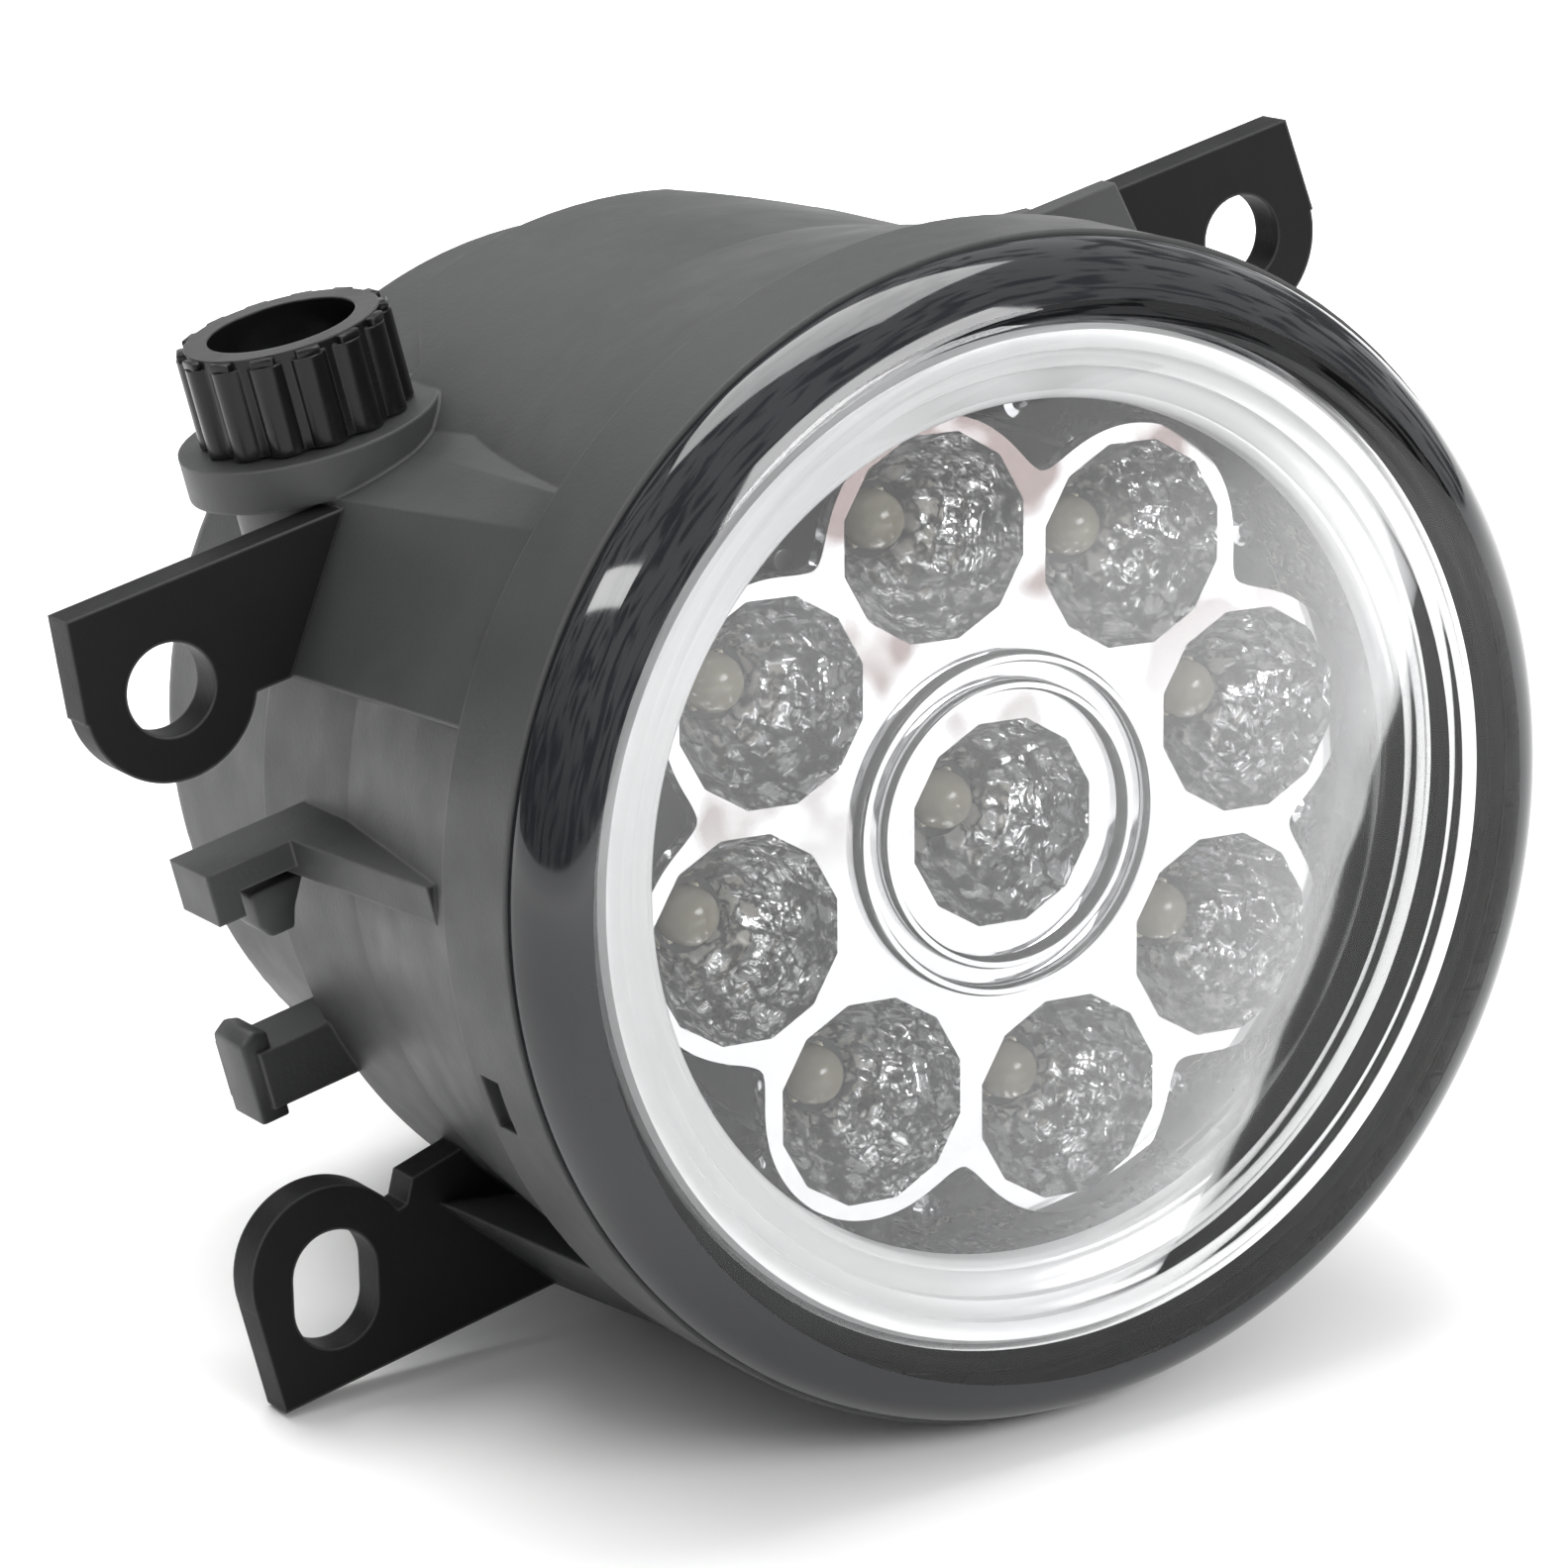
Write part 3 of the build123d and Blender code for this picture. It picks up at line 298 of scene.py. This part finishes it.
def moulded_block(name, outline, front, back, body):
    """Block pushed back along y from an outline of (x, z) points in mm, with rounded corners."""
    shape = bmesh.new()
    face = shape.faces.new([shape.verts.new((x * MM, front * MM, z * MM)) for x, z in outline])
    pushed = bmesh.ops.extrude_face_region(shape, geom=[face])
    for vert in [item for item in pushed["geom"] if isinstance(item, bmesh.types.BMVert)]:
        vert.co.y = back * MM
    break_corners(shape, 0.3)
    block = set_down(shape, name, 40)
    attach(block, body)
    return block


upper_claw = [(-48.6, 7.6), (-48.6, 4.9), (-47.7, 3.7), (-45.7, 3.7), (-45.2, 5.3), (-43.8, 7.6)]
claw = moulded_block("hook_claw", upper_claw, 34.0, 38.2, "lamp_body")
claw.data.materials.append(charcoal)
catch_flange = [(-48.5, -15.2), (-46.0, -15.2), (-46.0, -7.9), (-47.3, -7.5), (-48.5, -8.3)]
flange = moulded_block("catch_flange", catch_flange, 45.2, 50.4, "lamp_body")
flange.data.materials.append(charcoal)

# ---- lens ----
# Clear polycarbonate moulding with a polished, gently domed face, a deep rounded shoulder and
# a skirt that is glued into the collar. Turned here with a finer surface than the CAD lens.
lens_low, lens_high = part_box("lens")


def lathe(name, outline, body, turns=256, axis_x=0.0, axis_z=0.0):
    """Closed ring turned about an axis along y from an outline of (radius, y) points in metres."""
    shape = bmesh.new()
    rings = []
    for radius, depth in outline:
        if radius < 1e-9:
            rings.append([shape.verts.new((axis_x, depth, axis_z))])
            continue
        ring = []
        for k in range(turns):
            angle = 2 * pi * k / turns
            spot = (axis_x + radius * cos(angle), depth, axis_z + radius * sin(angle))
            ring.append(shape.verts.new(spot))
        rings.append(ring)
    for ring, after in zip(rings, rings[1:] + rings[:1]):
        if len(ring) == 1 and len(after) == 1:
            continue
        for k in range(turns):
            corners = [ring[k % len(ring)], ring[(k + 1) % len(ring)]]
            corners += [after[(k + 1) % len(after)], after[k % len(after)]]
            shape.faces.new(list(dict.fromkeys(corners)))
    bmesh.ops.recalc_face_normals(shape, faces=shape.faces)
    for face in shape.faces:
        face.smooth = True
    piece = set_down(shape, name, 32)
    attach(piece, body)
    return piece


def in_mm(outline):
    """Turns an outline in millimetres into metres."""
    return [(radius * MM, depth * MM) for radius, depth in outline]


def arc(first, middle, last, steps):
    """Points on the arc through three (radius, y) points, the last one left out."""
    (ax, ay), (bx, by), (cx, cy) = first, middle, last
    a2 = ax**2 + ay**2
    b2 = bx**2 + by**2
    c2 = cx**2 + cy**2
    area = 2 * (ax * (by - cy) + bx * (cy - ay) + cx * (ay - by))
    centre_r = (a2 * (by - cy) + b2 * (cy - ay) + c2 * (ay - by)) / area
    centre_y = (a2 * (cx - bx) + b2 * (ax - cx) + c2 * (bx - ax)) / area
    start = atan2(ay - centre_y, ax - centre_r)
    sweep = (atan2(cy - centre_y, cx - centre_r) - start + pi) % (2 * pi) - pi
    radius = hypot(ax - centre_r, ay - centre_y)
    points = []
    for k in range(steps):
        angle = start + sweep * k / steps
        points.append((centre_r + radius * cos(angle), centre_y + radius * sin(angle)))
    return points


lens_r = lens_high.x
lens_apex = lens_low.y
lens_wall = 2.6 * MM
crease_r = 38.8 * MM
crease_y = lens_apex + 1.6 * MM
face_r = 37.8 * MM
face_y = crease_y - 0.11 * MM
shoulder_mid = (43.1 * MM, -3.8 * MM)
skirt_in_r = 41.6 * MM
skirt_out_r = 43.2 * MM


def dome(edge_r, edge_y, apex_y, steps):
    """Points down a shallow dome from its edge to its apex on the axis."""
    rise = edge_y - apex_y
    curve_r = (edge_r**2 + rise**2) / (2 * rise)
    points = []
    for k in range(steps + 1):
        r = edge_r * (1 - k / steps)
        points.append((r, apex_y + curve_r - sqrt(curve_r**2 - r**2)))
    return points


lens_outline = [
    (skirt_in_r, lens_high.y),
    (skirt_out_r, lens_high.y),
    (skirt_out_r, 0.0),
    (lens_r, 0.0),
]
lens_outline += arc((lens_r, -0.5 * MM), shoulder_mid, (crease_r, crease_y), 20)
lens_outline += arc((crease_r, crease_y), (38.3 * MM, crease_y - 0.09 * MM), (face_r, face_y), 3)
lens_outline += dome(face_r, face_y, lens_apex, 24)
inside_r = crease_r - 0.8 * MM
inside_y = crease_y + lens_wall
lens_outline += dome(inside_r, inside_y, lens_apex + lens_wall, 20)[::-1]
lens_outline += arc((inside_r, inside_y), (40.9 * MM, -1.5 * MM), (skirt_in_r, 0.6 * MM), 10)[1:]
lens_outline.append((skirt_in_r, 0.6 * MM))
clear_lens = lathe("clear_lens", lens_outline, "lamp_body")
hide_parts("lens")
clear, tree, surface = shader("polished_polycarbonate")
tree.nodes.remove(surface)
ripple = lay(tree, "ShaderNodeBump", Strength=0.05, Distance=0.0004)
tree.links.new(grain(tree, 0.012, 1.0), ripple.inputs["Height"])
through = lay(tree, "ShaderNodeBsdfTransparent")
tint = blended(tree, grain(tree, 0.02), (0.985, 0.99, 0.985), (0.99, 0.99, 1.0))
tree.links.new(tint, through.inputs["Color"])
shine = lay(tree, "ShaderNodeBsdfAnisotropic")
shine.inputs["Roughness"].default_value = 0.02
tree.links.new(ripple.outputs["Normal"], shine.inputs["Normal"])
bounce = lay(tree, "ShaderNodeFresnel", IOR=1.5)
tree.links.new(ripple.outputs["Normal"], bounce.inputs["Normal"])
sheet = lay(tree, "ShaderNodeMixShader")
tree.links.new(bounce.outputs["Fac"], sheet.inputs["Fac"])
tree.links.new(through.outputs["BSDF"], sheet.inputs[1])
tree.links.new(shine.outputs["BSDF"], sheet.inputs[2])
tree.links.new(sheet.outputs["Shader"], tree.nodes["Material Output"].inputs["Surface"])
clear_lens.data.materials.append(clear)

# ---- mask ring ----
# Polished black moulding under the lens shoulder, which hides the glue seam. The same black
# covers the glued faces of the lens and the outer part of its shoulder.
mask_low, mask_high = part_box("mask_ring")
mask_outline = [(38.7 * MM, mask_low.y), (39.4 * MM, mask_low.y - 0.3 * MM)]
mask_outline += in_mm([(40.3, -1.1), (40.9, 0.2), (41.4, 2.0)])
mask_outline += [(mask_high.x, mask_high.y), (38.0 * MM, mask_high.y)]
mask_outline += in_mm([(38.0, 5.3), (38.7, 5.3)])
black_ring = lathe("black_ring", mask_outline, "lamp_body")
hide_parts("mask_ring")
gloss_black, tree, surface = shader("polished_black")
black_colour = blended(tree, grain(tree, 0.01), (0.010, 0.0105, 0.012), (0.016, 0.017, 0.020))
tree.links.new(black_colour, surface.inputs["Base Color"])
tree.links.new(between(tree, grain(tree, 0.004), 0.05, 0.09), surface.inputs["Roughness"])
swell = lay(tree, "ShaderNodeBump", Strength=0.06, Distance=0.0004)
tree.links.new(grain(tree, 0.012, 1.0), swell.inputs["Height"])
tree.links.new(swell.outputs["Normal"], surface.inputs["Normal"])
black_ring.data.materials.append(gloss_black)
clear_lens.data.materials.append(gloss_black)
glued_y = -0.45 * MM
black_front_r = 40.9 * MM
black_back_r = 39.6 * MM
for face in clear_lens.data.polygons:
    radius = hypot(face.center.x, face.center.z)
    on_back = radius > black_back_r and face.normal.y > 0.02
    if face.center.y > glued_y or radius > black_front_r or on_back:
        face.material_index = 1

# ---- trim ring ----
# Metallised ring that frames the reflector: a broad band that slopes inward in shallow steps to
# a thin lip. The bands are slightly hazy, so they read nearly white.
trim_outline = [(38.3, -2.2), (37.6, -2.15), (36.95, -1.95), (36.75, -1.45), (36.2, -1.15)]
trim_outline += [(35.5, -1.0), (35.3, -0.55), (34.6, -0.2), (33.8, 0.0), (33.55, 0.25)]
trim_outline += [(33.3, 0.3), (32.95, 0.6), (32.8, 1.0), (32.7, 2.0), (33.4, 2.0)]
trim_outline += [(33.7, 1.3), (34.3, 0.9), (35.8, 0.5), (36.1, -0.1), (37.3, -0.5)]
trim_outline += [(38.1, -0.6), (38.1, 5.3), (38.7, 5.3), (38.7, -1.6)]
silver_ring = lathe("silver_ring", in_mm(trim_outline), "lamp_body")
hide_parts("trim_ring")


def metallised(name, pale, reflection_tint, roughness, wave_size, wave, metal=1.0):
    """Vacuum-metallised plastic: bright, slowly waved, with painted reflections: tinted patches in its
    upper half.
    """
    made, tree, surface = shader(name)
    surface.inputs["Metallic"].default_value = metal
    spot = lay(tree, "ShaderNodeSeparateXYZ")
    tree.links.new(lay(tree, "ShaderNodeTexCoord").outputs["Object"], spot.inputs["Vector"])
    # Painted reflection: tinted cloud patches, limited to the upper half.
    high = between(tree, spot.outputs["Z"], 0, 1, 0.000, 0.014)
    cloud = lay(tree, "ShaderNodeMath", operation="MULTIPLY")
    tree.links.new(between(tree, grain(tree, 0.009, 2.0), 0, 1, 0.46, 0.56), cloud.inputs[0])
    tree.links.new(high, cloud.inputs[1])
    painted_reflection = cloud.outputs["Value"]
    tree.links.new(blended(tree, painted_reflection, pale, reflection_tint), surface.inputs["Base Color"])
    haze = between(tree, grain(tree, 0.003), roughness, roughness * 1.6)
    tree.links.new(haze, surface.inputs["Roughness"])
    swell = lay(tree, "ShaderNodeBump", Strength=wave, Distance=0.0005)
    tree.links.new(grain(tree, wave_size, 2.0), swell.inputs["Height"])
    tree.links.new(swell.outputs["Normal"], surface.inputs["Normal"])
    return made


# Its second colour is that of the painted reflection patches, here nearly the same white.
trim_pale = (0.99, 0.99, 0.99)
trim_reflection_tint = (0.985, 0.985, 0.98)
hazy_silver = metallised("hazy_silver", trim_pale, trim_reflection_tint, 0.16, 0.012, 0.02, 0.3)
silver_ring.data.materials.append(hazy_silver)

# ---- reflector ----
# Metallised plate with a petal outline. Nine twelve-sided cups are sunk in it, one at the centre
# inside two thin raised rings; each cup's wall is broken into rows of small pillowed facets.
plate_y = 5.2 * MM
plate_edge = 1.3 * MM
cup_ring_r = 23.2 * MM
cup_r = 8.1 * MM
cup_floor_r = 3.0 * MM
cup_floor_y = 14.2 * MM
cup_sides = 12
side_steps = 4
cup_rows = 15
lobe_r = 9.2 * MM
valley_r = 26.6 * MM
valley_blend = 24
skirt_flare = 1.006
cup_centres = [Vector((0, 0))]
for k in range(8):
    cup_centres.append(Vector((cos(pi / 4 * k), sin(pi / 4 * k))) * cup_ring_r)


def petal(angle):
    """Radius of the plate's outline at an angle."""
    off = (angle + pi / 8) % (pi / 4) - pi / 8
    reach = lobe_r**2 - (cup_ring_r * sin(off)) ** 2
    lobe = cup_ring_r * cos(off) + sqrt(max(reach, 0.0))
    return (lobe**valley_blend + valley_r**valley_blend) ** (1 / valley_blend)


def cup_point(centre, turn_step, row):
    """Point on a cup's wall: row 0 is the rim, and the wall is a parabola with flat sides."""
    depth = row / cup_rows
    angle = 2 * pi * turn_step / (cup_sides * side_steps)
    side = (angle % (2 * pi / cup_sides)) - pi / cup_sides
    flat = cos(pi / cup_sides) / cos(side)
    parabola = sqrt(cup_r**2 - (cup_r**2 - cup_floor_r**2) * depth)
    radius = parabola * (flat * (1 - depth * 0.6) + depth * 0.6)
    y = plate_y + (cup_floor_y - plate_y) * depth
    if 0 < row < cup_rows:
        spot = Vector((centre.x + radius * cos(angle), y, centre.y + radius * sin(angle)))
        swell_across = sin(pi * (turn_step % side_steps) / side_steps)
        pillow = 0.24 * MM * swell_across * abs(sin(pi * row / 3))
        crinkle = 0.26 * MM * noise.noise(spot / (0.9 * MM))
        crinkle += 0.16 * MM * noise.noise(spot / (0.42 * MM))
        radius -= pillow + crinkle
        y += 0.10 * MM * noise.noise(spot / (0.7 * MM) + Vector((7, 3, 1)))
    return Vector((centre.x + radius * cos(angle), y, centre.y + radius * sin(angle)))


plate = bmesh.new()
rim_edges = []
outline_steps = 360
edge_ring = []
for k in range(outline_steps):
    angle = 2 * pi * k / outline_steps
    reach = petal(angle)
    edge_ring.append(plate.verts.new((reach * cos(angle), plate_y, reach * sin(angle))))
for k in range(outline_steps):
    rim_edges.append(plate.edges.new((edge_ring[k - 1], edge_ring[k])))
cup_rims = []
for centre in cup_centres:
    ring = [plate.verts.new(cup_point(centre, k, 0)) for k in range(cup_sides * side_steps)]
    cup_rims.append(ring)
    for k in range(len(ring)):
        rim_edges.append(plate.edges.new((ring[k - 1], ring[k])))
bmesh.ops.triangle_fill(plate, use_beauty=True, edges=rim_edges, normal=(0, -1, 0))
for face in plate.faces:
    face.smooth = False
for centre, ring in zip(cup_centres, cup_rims):
    above_ring = ring
    for row in range(1, cup_rows + 1):
        below_ring = [plate.verts.new(cup_point(centre, k, row)) for k in range(len(ring))]
        for k in range(len(ring)):
            corners = (above_ring[k - 1], above_ring[k], below_ring[k], below_ring[k - 1])
            plate.faces.new(corners).smooth = True
        above_ring = below_ring
lower_ring = []
for vert in edge_ring:
    spot = (vert.co.x * skirt_flare, plate_y + plate_edge, vert.co.z * skirt_flare)
    lower_ring.append(plate.verts.new(spot))
for k in range(outline_steps):
    corners = (edge_ring[k - 1], edge_ring[k], lower_ring[k], lower_ring[k - 1])
    plate.faces.new(corners).smooth = True
bmesh.ops.recalc_face_normals(plate, faces=plate.faces)
if next(face for face in plate.faces if len(face.verts) == 3).normal.y > 0:
    bmesh.ops.reverse_faces(plate, faces=plate.faces)
reflector_plate = set_down(plate, "reflector_plate", 38)
plate_mesh = reflector_plate.data
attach(reflector_plate, "light_unit")
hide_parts("reflector")
# The dark brown-red second colour is a painted reflection in the plate's upper half.
plate_pale = (0.60, 0.60, 0.605)
plate_reflection_tint = (0.20, 0.16, 0.155)
bright_silver = metallised("bright_silver", plate_pale, plate_reflection_tint, 0.05, 0.016, 0.06)
plate_mesh.materials.append(bright_silver)
# The cup walls carry a painted reflection, a bent net of thin dark lines, and painted shade that darkens
# them towards the cup's floor.
cup_silver, tree, surface = shader("cup_silver")
surface.inputs["Metallic"].default_value = 0.82
surface.inputs["Roughness"].default_value = 0.04
place = lay(tree, "ShaderNodeTexCoord")
bend = lay(tree, "ShaderNodeTexNoise", Scale=900, Detail=3.0)
tree.links.new(place.outputs["Object"], bend.inputs["Vector"])
offset = lay(tree, "ShaderNodeVectorMath", operation="MULTIPLY_ADD")
offset.inputs[1].default_value = (0.0034, 0.0034, 0.0034)
tree.links.new(bend.outputs["Color"], offset.inputs[0])
tree.links.new(place.outputs["Object"], offset.inputs[2])
# Painted reflection of branches: thin dark lines in clumps.
reflected_twigs = lay(tree, "ShaderNodeTexVoronoi", feature="DISTANCE_TO_EDGE", Scale=430)
tree.links.new(offset.outputs["Vector"], reflected_twigs.inputs["Vector"])
reflection_lines = between(tree, reflected_twigs.outputs["Distance"], 0, 1, 0.02, 0.17)
reflection_clumps = between(tree, grain(tree, 0.0022, 5.0, 0.65), 0, 1, 0.40, 0.49)
shade = lay(tree, "ShaderNodeMath", operation="MULTIPLY")
tree.links.new(reflection_lines, shade.inputs[0])
tree.links.new(reflection_clumps, shade.inputs[1])
spot = lay(tree, "ShaderNodeSeparateXYZ")
tree.links.new(place.outputs["Object"], spot.inputs["Vector"])
# Painted shade: the colour darkens with depth into the cup.
depth = between(tree, spot.outputs["Y"], 1.0, 0.70, 0.0080, 0.0140)
painted_recess_shade = lay(tree, "ShaderNodeMath", operation="MULTIPLY")
painted_reflection_net = blended(tree, shade.outputs["Value"], (0.05, 0.05, 0.052), (1.0, 1.0, 1.0))
tree.links.new(painted_reflection_net, painted_recess_shade.inputs[0])
tree.links.new(depth, painted_recess_shade.inputs[1])
tree.links.new(painted_recess_shade.outputs["Value"], surface.inputs["Base Color"])
plate_mesh.materials.append(cup_silver)
for face in plate_mesh.polygons:
    within = hypot(face.center.x, face.center.z) < valley_r + 6 * MM
    if face.center.y > plate_y + 0.05 * MM and within:
        face.material_index = 1

for name, out_r, in_r in (("outer_ridge", 13.3, 12.4), ("inner_ridge", 11.2, 10.3)):
    middle = (out_r + in_r) / 2
    ridge_outline = [(out_r, 5.3), (out_r - 0.05, 4.3), (middle + 0.2, 3.95)]
    ridge_outline += [(middle - 0.2, 3.95), (in_r + 0.05, 4.3), (in_r, 5.3)]
    ridge = lathe(name, in_mm(ridge_outline), "light_unit", 160)
    ridge.data.materials.append(bright_silver)

# ---- bowl ----
# Deep aluminised dish behind the petals, its darker colour a painted reflection of the housing's inside,
# with dark painted reflection patches up top and eight small bosses seen between petals and ring.
bowl_outline = [(36.6, 4.3), (36.3, 7.0), (35.6, 10.0), (34.6, 13.0), (33.2, 15.6)]
bowl_outline += [(31.5, 16.6), (29.0, 16.8), (29.0, 17.1), (33.1, 17.1), (33.2, 16.2)]
bowl_outline += [(35.0, 12.0), (36.2, 8.0), (36.7, 4.25)]
deep_bowl = lathe("deep_bowl", in_mm(bowl_outline), "light_unit")
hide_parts("bowl")
# Painted reflection: darker base colour, and dark patches in the upper half.
reflection_dimmed_silver = metallised("reflection_dimmed_silver", (0.50, 0.50, 0.51), (0.12, 0.12, 0.12), 0.06, 0.003, 0.9)
deep_bowl.data.materials.append(reflection_dimmed_silver)
boss_ring_r = 31.4 * MM
boss_outline = [(1.9, 16.7), (1.6, 11.0), (1.35, 9.4), (0.7, 9.2), (0.6, 10.6), (0.0, 10.8)]
boss_outline.append((0.0, 16.7))
for k in range(8):
    angle = pi / 8 + pi / 4 * k
    boss_x = boss_ring_r * cos(angle)
    boss_z = boss_ring_r * sin(angle)
    boss = lathe(f"bowl_boss_{k + 1}", in_mm(boss_outline), "light_unit", 32, boss_x, boss_z)
    boss.data.materials.append(reflection_dimmed_silver)

# ---- LED board, packages and domes ----
# Aluminium-cored board, coloured dark as painted shade so that the cup floors stay dark, with nine
# square cream packages, each under a dome of clear yellowish silicone.
# Dark board colours: painted shade for the cup floors.
board_shade_colours = (0.02, 0.02, 0.02), (0.05, 0.05, 0.05), (0.06, 0.06, 0.06)
dress("led_board", moulded("dark_board", *board_shade_colours, 0.5, 0.001))
cream = (0.60, 0.56, 0.40), (0.72, 0.68, 0.50), (0.75, 0.72, 0.6)
dress("led_chips", moulded("package_cream", *cream, 0.35, 0.0008))
silicone, tree, surface = shader("yellow_silicone")
silicone_colour = blended(tree, grain(tree, 0.002), (0.11, 0.098, 0.065), (0.20, 0.185, 0.135))
tree.links.new(silicone_colour, surface.inputs["Base Color"])
surface.inputs["Roughness"].default_value = 0.18
surface.inputs["Subsurface Weight"].default_value = 0.5
surface.inputs["Subsurface Radius"].default_value = (0.0015, 0.0012, 0.0006)
dress("led_domes", silicone)

# ---- aiming knob ----
# Hollow thumbwheel in semi-gloss black with fourteen grip ribs, pressed on the steel aiming
# spindle. A small block on the top of each rib notches the rim.
knob_colours = (0.003, 0.003, 0.003), (0.006, 0.006, 0.006), (0.05, 0.05, 0.05)
knob_black = moulded("knob_black", *knob_colours, 0.22, 0.0009, 0.10, 0.00025, 0.25)
dress("aim_knob", knob_black)
knob_low, knob_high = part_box("aim_knob")
knob_middle = (knob_low + knob_high) / 2
rib_count = 14
rib_in_r = 7.0 * MM
rib_out_r = 8.3 * MM
rib_half = 0.95 * MM
rib_corners = ((rib_in_r, -rib_half), (rib_out_r, -rib_half), (rib_out_r, rib_half), (rib_in_r, rib_half))
cap_faces = ((0, 1, 2, 3), (4, 5, 6, 7), (0, 1, 5, 4), (1, 2, 6, 5), (2, 3, 7, 6), (3, 0, 4, 7))
caps = bmesh.new()
for k in range(rib_count):
    angle = 2 * pi * k / rib_count
    out = Vector((cos(angle), sin(angle), 0))
    along = Vector((-sin(angle), cos(angle), 0))
    corners = []
    for z in (knob_high.z - 0.8 * MM, knob_high.z - 0.05 * MM):
        for reach, half in rib_corners:
            spot = Vector((knob_middle.x, knob_middle.y, z)) + out * reach + along * half
            corners.append(caps.verts.new(spot))
    for loop in cap_faces:
        caps.faces.new([corners[i] for i in loop])
break_corners(caps, 0.18)
rib_caps = set_down(caps, "rib_caps", 40)
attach(rib_caps, "knob")
rib_caps.data.materials.append(knob_black)

# ---- metal parts ----
# The turned steel spindle, pins and screws and the sprung clip, all zinc-plated; the cast
# aluminium heat sink, left as cast; and the stamped brass blades of the inlet, tinned.


def metal(name, pale, dark, roughness, size=0.0012):
    """Plated or cast metal with fine mottling."""
    made, tree, surface = shader(name)
    surface.inputs["Metallic"].default_value = 1.0
    tree.links.new(blended(tree, grain(tree, size, 5.0), dark, pale), surface.inputs["Base Color"])
    spread = between(tree, grain(tree, size / 2), roughness, roughness + 0.15)
    tree.links.new(spread, surface.inputs["Roughness"])
    soft_edges(tree, surface, 0.0002, grain(tree, size / 3, 5.0), 0.2, 0.00008)
    return made


zinc = metal("zinc_plate", (0.50, 0.51, 0.53), (0.34, 0.35, 0.37), 0.32)
for name in ("aim_screw", "screw_clip", "pivot_pins", "bowl_screws", "reflector_screws", "cover_screws"):
    dress(name, zinc)
dress("heat_sink", metal("cast_aluminium", (0.62, 0.63, 0.64), (0.45, 0.46, 0.47), 0.4, 0.0006))
dress("terminals", metal("tinned_brass", (0.75, 0.72, 0.62), (0.62, 0.58, 0.46), 0.3))

# ---- inner mouldings and rubber ----
# Black carrier, white nylon plug, acetal nut, soft pad, sheathed leads and the sealing parts. Each
# has its dark, light and painted edge-highlight colour, its roughness, and its grain where that is
# coarser.
inner_parts = (
    ("carrier", "carrier_black", (0.03, 0.03, 0.03), (0.05, 0.05, 0.05), (0.10, 0.10, 0.10), 0.5),
    ("aim_nut", "natural_acetal", (0.74, 0.74, 0.70), (0.84, 0.84, 0.80), (0.88, 0.88, 0.86), 0.4),
    ("lead_plug", "white_nylon", (0.72, 0.71, 0.67), (0.82, 0.81, 0.77), (0.86, 0.86, 0.84), 0.45),
    ("thermal_pad", "pad_grey", (0.36, 0.38, 0.41), (0.46, 0.48, 0.51), (0.5, 0.5, 0.5), 0.8, 0.0015),
    ("inner_leads", "red_sheath", (0.42, 0.02, 0.02), (0.52, 0.04, 0.04), (0.6, 0.1, 0.1), 0.35),
)
for part, finish, *values in inner_parts:
    dress(part, moulded(finish, *values))
rubber_colours = (0.016, 0.016, 0.016), (0.030, 0.030, 0.030), (0.05, 0.05, 0.05)
rubber = moulded("black_rubber", *rubber_colours, 0.75, 0.0006, 0.4)
for name in ("lens_seal", "knob_seal", "cover_gasket", "vent_cap"):
    dress(name, rubber)

# ---- rear cover ----
# Separate moulding in the same charcoal, screwed over the rear opening, with the inlet shroud and
# its latch lug.
# Its rounded edges carry the same painted highlight.
cover_charcoal = moulded("cover_charcoal", charcoal_dark, charcoal_light, charcoal_edge_highlight, 0.5)
dress("rear_cover", cover_charcoal)

# ---- driver board ----
# Green board behind the cover with a wound inductor, two sleeved capacitors and two chips. The
# values are in the same order as those of the inner mouldings.
driver_parts = (
    ("driver_board", "green_mask", (0.015, 0.14, 0.06), (0.03, 0.22, 0.10), (0.3, 0.32, 0.2), 0.3, 0.0008),
    ("driver_inductor", "ferrite_grey", (0.07, 0.07, 0.08), (0.12, 0.12, 0.13), (0.2, 0.2, 0.2), 0.6),
    ("driver_capacitors", "sleeve_blue", (0.02, 0.03, 0.08), (0.04, 0.05, 0.12), (0.4, 0.4, 0.42), 0.3),
    ("driver_chips", "chip_epoxy", (0.012, 0.012, 0.012), (0.02, 0.02, 0.02), (0.05, 0.05, 0.05), 0.55),
)
for part, finish, *values in driver_parts:
    dress(part, moulded(finish, *values))
